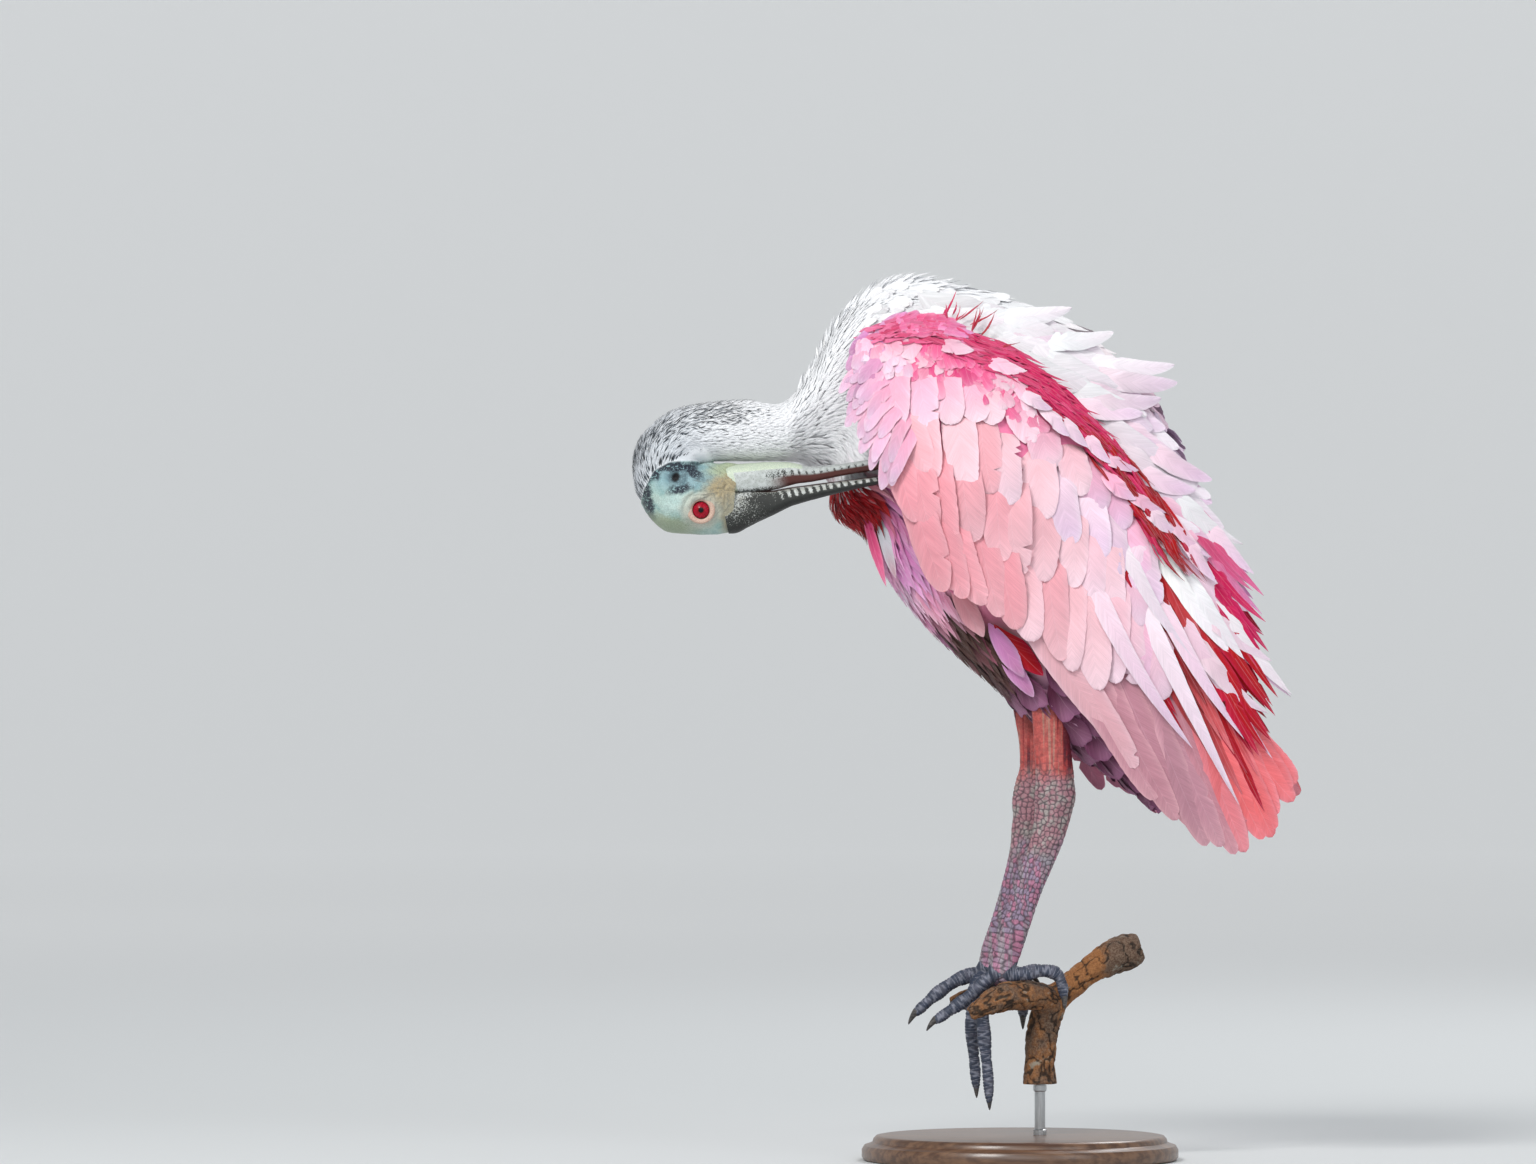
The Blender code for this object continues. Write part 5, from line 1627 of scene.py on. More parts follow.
        def streaked(_: Array, points: Array) -> Array:
            x, z = points[:, 0], points[:, 2]
            line = np.interp(x, (-232, -229, -215, -200, -185, -165), (414, 420, 436, 443, 446, 448))
            near = np.exp(-(((z - line) / 5.0) ** 2)) * soft_step(-x, 156, 186)
            return (draw.random(len(x)) < near * 0.42) & (self.bareness(points) < -1)

        roots = self.form.scatter((10.6, 19), (-180, 180), 1.4, 44, streaked)
        count = len(roots)
        tones = np.broadcast_to(Hue.SLATE.linear, (count, 4, 3)) * draw.uniform(0.04, 0.6, (count, 1, 1))
        self.tract(
            "nape_dashes", TUFT, roots, draw.uniform(3.0, 5.6, count), draw.uniform(0.22, 0.42, count),
            draw.normal(0, 12, count), (0.3, 1.25), 46, tones,
        )

    def _plumes(self) -> None:
        """Loose feathers that hang from the breast and the belly."""
        hung = (
            (5.5, -152, 14, 46, 3.6, SOFT_PLUME), (5.2, -148, 12, 40, 4.2, PALE_PLUME),
            (5.2, 150, 10, 40, 4.5, SOFT_PLUME), (4.1, -128, 14, 36, 5.0, SOFT_PLUME),
            (3.4, -134, 20, 34, 6.5, SALMON_VANE), (2.65, -134, 22, 32, 6.0, MAUVE_FRINGE),
            (2.35, -140, 22, 30, 6.0, MAUVE_FRINGE), (3.2, 140, 18, 32, 6.0, SALMON_VANE),
            (2.6, -132, 30, 30, 6.5, CRIMSON_BLADE), (2.4, 138, 26, 30, 6.5, MAUVE_FRINGE),
        )
        places = np.array([row[:2] for row in hung], float)
        start, outs = self.form.sample(places[:, 0], places[:, 1], np.full(len(hung), -3.0))
        drop = np.array([(row[2], 0.0, -row[3]) for row in hung])
        part = BLADE.shares()[None, :, None]
        line = start[:, None] + drop[:, None] * part + outs[:, None] * (4 * part * (1.4 - part))
        face = np.broadcast_to(outs[:, None] + (0, 0, 0.4), line.shape)
        tones = np.array([row[5].numbers() for row in hung])
        half = np.array([row[4] for row in hung])
        solid = BLADE.build(line, face, half, tones, self.unwrap(places), 51)
        add_piece("hanging_plumes", solid, self.feather)


MANTLE_VANE = Vane(
    Outline.BLUNT, stations=16, columns=5, fray=0.035, splits=0.03, wander=6, camber=0.2, sweep=0.9
)
SOFT_PLUME = Tone(Hue.MAGENTA, Hue.PINK, Hue.ROSE, Hue.MAGENTA)
PALE_PLUME = Tone(Hue.CLOUD, Hue.DUSK, Hue.FROST, Hue.MAUVE)


@dataclass
class BodySkin:
    """One skin over the torso, neck and head, sunk under the coat, with the bare head's relief."""

    form: BodyForm
    plumage: Plumage
    sides: int = 200
    eye: tuple[float, float] = (-191.0, 389.5)
    ear: tuple[float, float] = (-206.0, 409.0)
    gape: tuple[float, float] = (-170.0, 400.6)

    def build(self, finish: bpy.types.Material) -> None:
        """Makes the skin."""
        place = np.concatenate([
            np.linspace(0, 7, 60, endpoint=False), np.linspace(7, 13, 70, endpoint=False),
            np.linspace(13, 20, 190),
        ])
        angle = np.linspace(0, 360, self.sides, endpoint=False)
        places, angles = np.meshgrid(place, angle, indexing="ij")
        points, outs = self.form.sample(places, angles, places * 0)
        coat = soft_step(-self.plumage.bareness(points), -0.8, 0.8)
        coat = np.where(places < 12, 1.0, coat)
        depth = np.interp(places, (0, 6.5, 8, 12, 13), (3.0, 2.6, 2.0, 1.2, 0.7)) * coat
        side = np.abs(outs[..., 1]) ** 1.4
        rise = self._relief(points, side) * (1 - coat) - depth
        under = soft_step(-np.cos(np.radians(angles)), 0.2, 0.9)
        rise = rise + 2.4 * under * soft_step(places, 11.7, 12.5) * soft_step(-places, -18.4, -16.8)
        tint = self.plumage.colours(points, places) * 0.96
        values = {"tint": tint[None], "coat": coat[None]}
        nodes = ["torso", "neck", "head"]
        skin = lofts((points + outs * rise[..., None])[None], values)
        add_piece("body_skin", skin, finish, nodes)

    def _relief(self, points: Array, side: Array) -> Array:
        """How far the bare skin's folds stand off, in millimetres."""
        x, z = points[..., 0], points[..., 2]
        reach = np.hypot(x - self.eye[0], z - self.eye[1])
        socket = -4.6 * soft_step(-reach, -6.6, -4.6)
        ring = 0.7 * np.exp(-(((reach - 8.2) / 1.2) ** 2)) - 0.5 * np.exp(-(((reach - 10.4) / 0.9) ** 2))
        brow = 0.7 * np.exp(-(((reach - 13) / 2.2) ** 2)) * soft_step(z - x * 0.2, 424, 432)
        over, up = x - self.ear[0], z - self.ear[1]
        hole = np.hypot(over * 0.9 + up * 0.45, up * 0.8 - over * 0.35)
        ear = -2.8 * np.exp(-((hole / 1.9) ** 2)) + 0.8 * np.exp(-(((hole - 4.4) / 1.3) ** 2))
        back, slope = self.gape[0] - x, self.gape[1] + 0.12 * (self.gape[0] - x)
        crease = -0.9 * np.exp(-(((z - slope) / 0.8) ** 2))
        crease = crease * soft_step(back, -4, 0) * soft_step(-back, -17, -6)
        folds = np.zeros_like(x)
        for turn in np.radians((200, 222, 244, 266, 288)):
            off = (x + 176) * math.sin(turn) - (z - 404) * math.cos(turn)
            folds -= 0.35 * np.exp(-((off / 0.8) ** 2) - ((x + 178) / 9) ** 2)
        wrinkle = 0.22 * grain(points * (1, 0.6, 1.6), 2.6, 3.0, 3)
        cheek = 0.8 * np.exp(-(((x + 196) / 9) ** 2 + ((z - 401) / 6) ** 2))
        return (socket + ring + brow + ear + crease + folds + cheek) * side + wrinkle


@dataclass
class Eye:
    """An eyeball that bulges at the cornea, and its creased ring of lid."""

    side: int
    name: str
    centre: tuple[float, float] = (-191.0, 389.5)
    middle: float = -43.0
    skin: float = 17.2
    sink: float = 4.8
    radius: float = 6.85

    def build(self, iris: bpy.types.Material, lid: bpy.types.Material) -> None:
        """Makes the eyeball and its lid."""
        turn = np.linspace(0.02, math.pi - 0.02, 48)
        reach = self.radius + 0.45 * np.exp(-((turn / 0.55) ** 2))
        ball = turned(np.stack([reach * np.sin(turn), reach * np.cos(turn)], axis=-1), 64)
        centre = np.array((self.centre[0], self.middle + self.side * (self.skin - self.sink), self.centre[1]))
        ball.points = centre + ball.points[:, [0, 2, 1]] * (1, self.side, 1)
        add_piece(f"{self.name}_ball", ball.turned_out(), iris, [self.name])
        add_piece(f"{self.name}_lid", self._lid(), lid)

    def _lid(self) -> Solid:
        """The ring of skin round the eye, with its radial creases."""
        theta, phi = np.meshgrid(
            np.linspace(0, 2 * math.pi, 144, endpoint=False), np.linspace(0, 2 * math.pi, 20, endpoint=False),
            indexing="ij",
        )
        crease = 0.10 * np.sin(theta * 34 + 2 * np.sin(theta * 3)) * (0.5 + 0.5 * np.cos(phi))
        thick = 1.35 + crease + 0.12 * np.sin(theta * 2 + 1)
        reach = 6.75 + thick * np.cos(phi) * 1.15
        level = self.middle + self.side * (self.skin - 0.2 + thick * np.sin(phi) * 0.8)
        points = np.stack([
            self.centre[0] + reach * np.cos(theta), level, self.centre[1] + reach * np.sin(theta)
        ], axis=-1)
        index = np.arange(theta.size).reshape(theta.shape)
        corners = [index, np.roll(index, -1, 1), np.roll(np.roll(index, -1, 1), -1, 0), np.roll(index, -1, 0)]
        return Solid(points.reshape(-1, 3), [np.stack(corners, axis=-1).reshape(-1, 4)]).turned_out()


def turned(profile: Array, sides: int) -> Solid:
    """A solid of revolution about z, from (radius, height) pairs."""
    theta = np.linspace(0, 2 * math.pi, sides, endpoint=False)
    radius, height = profile[:, :1], np.repeat(profile[:, 1:], sides, axis=1)
    rings = np.stack([radius * np.cos(theta), radius * np.sin(theta), height], axis=-1)
    return lofts(rings[None])


@dataclass
class Mandible:
    """One half of the bill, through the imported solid's own sections.

    Each section holds the middle's x and z, the half height and the half width. The outer way is
    -1 for the upper half, whose outer face points down in this pose, and 1 for the lower half.
    """

    name: str
    outer: int
    sections: tuple[tuple[float, float, float, float], ...]
    finish: HornFinish
    middle: float = -43.0
    filling: tuple[float, ...] = (0, 0, 0, 0, 0, 0)
    slope: float = 0.22
    roll: float = 0.05
    pitch: float = 4.3

    def build(self) -> None:
        """Makes the half bill."""
        share, turn = np.linspace(0, 1, 260), np.linspace(0, 2 * math.pi, 72, endpoint=False)
        found = along(self.sections, share)
        steps = np.linalg.norm(np.diff(found[:, :2], axis=0), axis=1)
        span = np.concatenate([[0], np.cumsum(steps)])[:, None]
        level, reach = np.sin(turn)[None], np.cos(turn)[None]
        outward = level * self.outer > 0
        full_level = np.sign(level) * np.abs(level) ** np.where(outward, 0.85, 0.6)
        full_reach = np.sign(reach) * np.abs(reach) ** np.where(outward, 0.75, 0.4)
        toward_out = full_level * self.outer
        end = np.sqrt(np.clip((1.0 - share[:, None]) / 0.03, 0.02, 1))
        height, width = found[:, 2:3] * end, found[:, 3:4] * end
        inside = soft_step(-toward_out, 0.1, 0.8)
        height = height + inside * np.interp(span, (0, 6, 30, 110, 150, 175), self.filling)
        uneven = 1.3 * grain(np.stack([span, 0 * span, 0 * span], axis=-1), 9.0, 2.0)
        teeth = np.cos(span * 2 * math.pi / self.pitch + 2.2 * reach + uneven)
        ridge = (0.5 + 0.5 * teeth) * soft_step(span, 22, 50)
        margin = np.exp(-(((toward_out - 0.1) / 0.42) ** 2))
        swell = 0.55 * ridge * margin + 0.25 * self._pits(span, turn)
        over, rise = full_reach * (width + swell), full_level * (height + swell * 0.5)
        points = np.stack([
            found[:, :1] - self.slope * rise, self.middle + over, found[:, 1:2] + rise + self.roll * over
        ], axis=-1)
        horn = self._stain_and_shade(span, toward_out, ridge)
        solid = lofts(points[None], {"horn": horn[None]})
        add_piece(f"{self.name}_horn", solid, self.finish.material(), [self.name])

    def _pits(self, span: Array, turn: Array) -> Array:
        """Fine pits over the horn."""
        spots = np.stack(np.broadcast_arrays(span, turn[None] * 9.0, 0.0), axis=-1)
        return grain(spots, 2.4, 5.0, 2)

    def _stain_and_shade(self, span: Array, toward_out: Array, ridge: Array) -> Array:
        """The stored values: how dark, partly as painted shade; how much dark red painted shade; and how much
        soft skin.
        """
        tip = soft_step(span, 40, 150)
        groove = 0.5 - ridge
        # Painted shade: dark red along the middle of each inner face, in the gap between the halves.
        lining_and_shade = soft_step(-toward_out, 0.9, 0.98) * soft_step(span, 2, 6)
        if self.outer < 0:
            dark = 0.42 + 0.34 * soft_step(toward_out, -0.5, 0.4)
            dark = dark + 0.40 * soft_step(span, 16, 46) * (toward_out > -0.2)
            dark = dark + groove * 1.4 * np.exp(-(((toward_out + 0.5) / 0.45) ** 2)) * soft_step(span, 8, 30)
            dark = dark + 0.5 * np.exp(-(((span - 4) / 5) ** 2)) * soft_step(toward_out, 0.45, 0.9)
            dark = dark - 0.15 * soft_step(-toward_out, 0.55, 0.9)
            skin = 0.7 * soft_step(-span, -8, -2) * soft_step(-toward_out, -0.5, 0.4)
        else:
            dark = 0.16 + 0.30 * tip * soft_step(toward_out, -0.1, 0.7)
            dark = dark + groove * 1.2 * np.exp(-(((toward_out + 0.1) / 0.4) ** 2)) * soft_step(span, 18, 34)
            # Painted shade: the lower half's inner face, which faces down, is darker near the base.
            dark = dark + 0.5 * soft_step(-toward_out, 0.6, 0.9) * soft_step(-span, -34, -20)
            skin = soft_step(toward_out, 0.30, 0.52) * soft_step(-span, -48, -42)
            skin = np.maximum(skin, 0.9 * soft_step(-span, -6, -2))
            # Painted shade: dark red over more of the lower half's down-facing inner face, beyond the base.
            lining_and_shade = np.maximum(lining_and_shade, soft_step(-toward_out, 0.25, 0.45) * soft_step(span, 20, 36))
        dark, lining_and_shade, skin = np.broadcast_arrays(dark, lining_and_shade, skin)
        return np.stack([dark, lining_and_shade, skin], axis=-1)


UPPER_BILL = (
    (-177, 387, 11.4, 13), (-171.5, 388.2, 11.8, 13), (-160, 391.4, 9.3, 12.2), (-148.2, 393.8, 6.5, 11),
    (-136.7, 397.4, 4.9, 10), (-113.7, 402.2, 3.4, 9), (-91, 406.3, 2.3, 9.2), (-72, 409.2, 2, 12),
    (-53, 413, 1.8, 18.5), (-37, 416.4, 1.8, 24), (-22, 419.6, 1.8, 25.5), (-11, 422, 1.6, 20),
    (-5.5, 423.2, 1.2, 12),
)
LOWER_BILL = (
    (-175, 409, 7.2, 12.6), (-169.5, 409.4, 7.4, 12.6), (-160, 410.4, 7.2, 12), (-149, 411.6, 6.7, 10.8),
    (-137, 413.1, 4.9, 9.8), (-125, 412.8, 2.9, 9.2), (-108, 415.2, 1.9, 8.7), (-91, 417.9, 1.7, 8.9),
    (-72, 420.9, 1.6, 11.4), (-53, 423.4, 1.6, 17.8), (-37, 425.4, 1.6, 23.2), (-22, 427.2, 1.6, 24.6),
    (-12, 428.6, 1.5, 19), (-7, 429.2, 1.2, 12),
)


@dataclass
class Tail:
    """The tail's flesh, its fan of feathers, and the coverts above and below it."""

    root: tuple[float, float] = (92.0, 236.0)
    tip: tuple[float, float] = (129.0, 184.0)
    spread: float = 13.0
    half: float = 6.5
    pairs: int = 6
    sections: tuple[tuple[float, ...], ...] = (
        (104, 257, 60, 232, 22), (112, 238, 81, 219.5, 15.5), (117, 223, 99, 212, 9),
    )

    def build(self, feather: bpy.types.Material, down: bpy.types.Material) -> None:
        """Makes the tail's pieces."""
        found = along(self.sections, np.linspace(0, 1, 30))[:, None]
        turn = np.linspace(0, 2 * math.pi, 48, endpoint=False)[None, :, None]
        back, belly = found[..., [0, 1]], found[..., [2, 3]]
        flat = (back + belly) / 2 + (back - belly) / 2 * np.cos(turn)
        rings = np.concatenate([flat[..., :1], found[..., 4:5] * np.sin(turn), flat[..., 1:]], axis=-1)[None]
        tint = np.broadcast_to(Hue.CORAL.linear * 0.8, rings.shape).copy()
        add_piece("tail_skin", lofts(rings, {"tint": tint}), down, ["tail"])
        add_piece("tail_fan", together([self._fan(), *self._coverts()]), feather)

    def _frame(self) -> tuple[Array, Array]:
        """The way the tail runs and the way its upper side faces."""
        way = unit(np.array((self.tip[0] - self.root[0], 0.0, self.tip[1] - self.root[1])))
        return way, np.array((-way[2], 0.0, way[0]))

    def _feathers(
        self, vane: Vane, start: Array, end: Array, half: float, tones: Sequence[Tone], seed: int
    ) -> Solid:
        """Straight feathers between points, which face the tail's upper side."""
        _, up = self._frame()
        part = vane.shares()[None, :, None]
        line = start[:, None] + (end - start)[:, None] * part
        rows = along(np.array([tone.numbers().ravel() for tone in tones]), np.linspace(0, 1, len(start)))
        roots = np.stack([0.5 + start[:, 1] / 60, 0.5 + (start[:, 2] - 236) / 120], axis=-1)
        halves = np.full(len(start), half)
        return vane.build(line, np.broadcast_to(up, line.shape), halves, rows.reshape(-1, 4, 3), roots, seed)

    def _fan(self) -> Solid:
        """The long tail feathers, the middle pair uppermost."""
        way, up = self._frame()
        order = np.arange(2 * self.pairs)
        side = (order - self.pairs + 0.5) / self.pairs
        outer = np.abs(side)[:, None]
        start = np.array((self.root[0], 0, self.root[1])) + side[:, None] * 5.0 * ACROSS
        end = np.array((self.tip[0], 0, self.tip[1])) + side[:, None] * self.spread * ACROSS
        level = up * (2.4 - 5.0 * outer)
        tones = (
            Tone(Hue.AMBER, Hue.ORANGE, Hue.AMBER, Hue.ORANGE),
            Tone(Hue.CORAL, Hue.ORANGE, Hue.AMBER, Hue.ORANGE),
        )
        return self._feathers(FLIGHT, start + level, end + level - way * outer * 8, self.half, tones, 61)

    def _coverts(self) -> list[Solid]:
        """The shorter feathers that lie over the fan's root, above and below."""
        way, up = self._frame()
        made = []
        for face, reach, tones, seed in (
            (1, 0.62, (CORAL_VANE, SALMON_VANE), 71), (-1, 0.7, (MAUVE_FRINGE, CORAL_VANE), 81),
        ):
            draw = np.random.default_rng(seed)
            side = np.tile(np.linspace(-1, 1, 7), 4)
            row = np.repeat(np.arange(4), 7)
            back = np.array((self.root[0] - 4, 0, self.root[1] + 6)) - way * (row[:, None] * 7.0)
            start = back + (side * (9 + row * 2))[:, None] * ACROSS + up * (face * (7 + row * 2.2))[:, None]
            end = start + way * (44 * reach + draw.normal(0, 2, 28))[:, None] + (side * 3)[:, None] * ACROSS
            made.append(self._feathers(COVERT, start, end - up * face * 2, 5.5, tones, seed + 1))
        return made


def tube(line: Any, radii: Any, steps: int = 60, sides: int = 28) -> Solid:
    """A tube along a smooth line.

    Args:
        line: Points of its middle.
        radii: Its half depth and half width at each, or one radius at each.
        steps: How many rings it has.
        sides: How many sides it has.

    Returns:
        The closed tube.
    """
    share, turn = np.linspace(0, 1, steps), np.linspace(0, 2 * math.pi, sides, endpoint=False)[None, :, None]
    spots, reach = along(line, share), along(np.reshape(radii, (len(line), -1)), share)
    wide, deep = sideways(unit(np.gradient(spots, axis=0)))
    rings = spots[:, None] + wide[:, None] * np.cos(turn) * reach[:, None, -1:]
    return lofts((rings + deep[:, None] * np.sin(turn) * reach[:, None, :1])[None])


def sideways(ahead: Array) -> tuple[Array, Array]:
    """Two ways square to a line's own way: the bird's right, and the way square to both."""
    wide = unit(ACROSS - ahead * ahead[..., 1:2])
    return wide, np.cross(wide, ahead)


def unrolled(points: Array, lines: Sequence[Any]) -> tuple[Array, Array, Array]:
    """Finds where points lie along and round the nearest of several lines.

    Args:
        points: The points.
        lines: Points of each line.

    Returns:
        How far along in millimetres, the turn from the near side in radians, and the line's number.
    """
    spots = np.concatenate([along(line, np.linspace(0, 1, 150)) for line in lines])
    number = np.repeat(np.arange(len(lines)), 150)
    step = np.linalg.norm(np.diff(spots, axis=0, prepend=spots[:1]), axis=1)
    step[::150] = 0
    run = np.cumsum(step)
    ahead = np.concatenate([unit(np.gradient(spots[number == k], axis=0)) for k in range(len(lines))])
    wide, deep = sideways(ahead)
    tree = KDTree(len(spots))
    for index, spot in enumerate(spots.tolist()):
        tree.insert(spot, index)
    tree.balance()
    near = np.array([tree.find(point)[1] for point in points.tolist()])
    off = points - spots[near]
    turn = np.arctan2(np.sum(off * deep[near], axis=1), -np.sum(off * wide[near], axis=1))
    return run[near] + np.sum(off * ahead[near], axis=1), turn, number[near]


@dataclass
class Leg:
    """A leg from the bare shank to the claws: one fused skin, raised into scales, and its claws.

    Sections hold x, z, the half depth and the half width.
    """

    name: str
    y: float
    shank: tuple[tuple[float, ...], ...]
    tarsus: tuple[tuple[float, ...], ...]
    pad: tuple[tuple[float, ...], ...]
    toes: tuple[tuple[tuple[float, float, float], ...], ...]
    toe_radius: tuple[float, ...] = (4.3, 4.3, 4.3, 3.2)
    taper: tuple[float, ...] = (1.15, 1.0, 0.96, 0.90, 0.76, 0.50)
    scale: float = 2.7
    voxel: float = 0.6

    def build(self, scales: bpy.types.Material, horn: bpy.types.Material) -> None:
        """Makes the leg's pieces."""
        line, radii = self._column()
        tubes = [tube(line, radii, 240, 36)]
        for toe, radius in zip(self.toes, self.toe_radius):
            tubes.append(self._toe(np.array(toe), radius))
        points, outs, faces = fused(together(tubes), self.voxel)
        run, turn, part = unrolled(points, [line, *self.toes])
        rise, values = self._scales(points, run, turn, part)
        nodes = [f"{kind}_{self.name}" for kind in ("shank", "tarsus", "foot")]
        skin = Solid(points + outs * rise[:, None], faces, {"scale": values})
        add_piece(f"leg_{self.name}_skin", skin, scales, nodes)
        claws = [self._claw(np.array(toe), radius) for toe, radius in zip(self.toes, self.toe_radius)]
        add_piece(f"claws_{self.name}", together(claws), horn)

    def _column(self) -> tuple[Array, Array]:
        """The middle line and the radii of shank, tarsus and pad."""
        rows = np.array([*self.shank, *self.tarsus[1:], *self.pad[1:]])
        line = np.stack([rows[:, 0], np.full(len(rows), self.y), rows[:, 1]], axis=1)
        return line, rows[:, 2:]

    def _toe(self, toe: Array, radius: float) -> Solid:
        """A toe with a swollen pad at each joint."""
        share = np.linspace(0, 1, 60)
        reach = along(np.array(self.taper)[:, None] * radius, share)[:, 0]
        swell = 1 + 0.10 * np.cos(share * 2 * math.pi * (len(toe) - 1) * 0.7) * soft_step(share, 0, 0.1)
        reach = reach * swell * np.sqrt(np.clip((1.002 - share) / 0.06, 0.05, 1))
        return tube(along(toe, share), reach, 60, 24)

    def _scales(self, points: Array, run: Array, turn: Array, part: Array) -> tuple[Array, Array]:
        """How far the scales stand off, and what the finish reads: crease, scale and zone."""
        z = points[:, 2]
        ragged = z + 13 * grain(points, 11.0, 9.0, 3)
        zone = np.interp(ragged, (112, 120, 176, 206, 226, 266), (2.7, 2.2, 2.2, 1.3, 1.2, 0.0))
        zone = np.where(part > 0, 3.2, zone)
        plate = soft_step(-z, -150, -138) * (np.abs(turn) < 1.3)
        u = turn * 7.0 / (self.scale + 0.9 * (zone < 0.9) + 7 * plate)
        v = run / (self.scale * 1.15 + 1.2 * (zone < 0.9))
        edge, own = cells(np.where(part > 0, turn * 0.2, u), np.where(part > 0, run / 1.9, v), 3.0)
        depth = np.where(zone < 0.9, 0.12, 0.42)
        # A groove down the leg, sunk and stored as a crease so that the finish paints it dark: painted shade.
        groove = np.exp(-(((turn - 0.55) / 0.13) ** 2)) * (part == 0) * soft_step(zone, 1.2, 2.0)
        knobs = 1.3 * grain(points, 10.0, 5.0, 2) * np.exp(-(((z - 216) / 18) ** 2)) * (part == 0)
        rise = depth * (soft_step(edge, 0.0, 0.3) - 0.8) - 0.45 * groove + knobs
        rise += 0.12 * grain(points, 2.0, 6.0, 2)
        return rise, np.stack([np.minimum(edge, 1 - 0.9 * groove), own, zone], axis=-1)

    def _claw(self, toe: Array, radius: float) -> Solid:
        """A curved claw off a toe's end."""
        start = along(toe, np.array([0.93]))[0]
        ahead = unit(toe[-1] - toe[-2])
        share = np.linspace(0, 1, 24)[:, None]
        fall = np.array((0.0, 0.0, -1.0)) - ahead * -ahead[2]
        line = start + ahead * share * 8.5 + fall * 2.2 * share**2 + np.array((0.0, 0.0, 0.9)) * (1 - share)
        return tube(line, radius * 0.5 * (1 - share[:, 0]) ** 0.65 + 0.12, 24, 20)


NEAR_LEG = Leg(
    "left", -20.0,
    shank=(
        (2, 322, 17, 12), (10, 300, 14, 9.5), (16, 282, 11.6, 7), (17.6, 268, 11, 6), (18.6, 250, 11, 6),
        (20.1, 234, 11.4, 7.2), (20.2, 220, 12.2, 8.6),
    ),
    tarsus=(
        (20.2, 220, 12.2, 8.6), (19, 208, 10.8, 8), (16, 194, 9.6, 6.2), (11, 180, 8.8, 5.2),
        (4, 162, 8.2, 4.8), (-2.5, 142, 8, 4.8), (-8, 126, 8.2, 5.4), (-10.6, 117.5, 7.8, 6.2),
    ),
    pad=((-10.6, 117.2, 7.8, 6.2), (-11.3, 113.5, 8.6, 7.2), (-11.5, 108, 5.5, 4.6)),
    toes=(
        (
            (-12, -20, 112), (-20, -19, 109), (-29, -19, 100.5), (-38, -19.5, 93.5), (-46, -20, 88),
            (-53, -21, 83),
        ),
        (
            (-12, -19, 111), (-19, -13, 106), (-22.5, -9.5, 91), (-21.5, -9, 72), (-19.5, -10, 52),
            (-18.5, -12, 32),
        ),
        (
            (-11, -20, 111.4), (1, -20.5, 112.6), (12, -19.5, 114.4), (21, -18, 112.5), (25, -17, 105),
            (26, -17.5, 96),
        ),
        ((-11, -19, 112), (-3, -12, 112.4), (3, -5.5, 111.6), (8, -1.5, 109)),
    ),
)
FAR_LEG = Leg(
    "right", 15.0,
    shank=(
        (-8, 322, 17, 12), (0, 300, 14, 9.5), (5, 284, 11.6, 7), (7.8, 268, 11, 6), (10.8, 250, 11, 6),
        (11.4, 234, 11.4, 7.2), (8.8, 220, 12.2, 8.6),
    ),
    tarsus=(
        (8.8, 220, 12.2, 8.6), (6.4, 208, 10.8, 8), (4.8, 194, 9.6, 6.2), (2, 180, 8.8, 5.2),
        (-3, 162, 8.2, 4.8), (-9, 142, 8, 4.8), (-14.4, 126, 8.2, 5.4), (-16.6, 117.5, 7.8, 6.2),
    ),
    pad=((-16.6, 117.2, 7.8, 6.2), (-17.3, 113.5, 8.6, 7.2), (-17.5, 108, 5.5, 4.6)),
    toes=(
        ((-18, 15, 111.5), (-10, 22, 112.2), (-3, 28, 108), (1, 32, 99), (2.5, 32.5, 90), (2.5, 32.5, 83)),
        ((-18, 14, 111), (-25, 9, 106), (-28.5, 5.5, 92), (-28.5, 4.5, 74), (-27, 4, 56), (-26, 3, 40)),
        ((-18, 15, 111.5), (-28, 14, 111), (-40, 12.5, 106), (-50, 11, 99), (-58, 9.5, 92), (-64, 8.5, 86)),
        ((-17, 15, 112), (-8, 12.5, 113.6), (0, 9, 112.8), (6, 6, 110.4)),
    ),
)


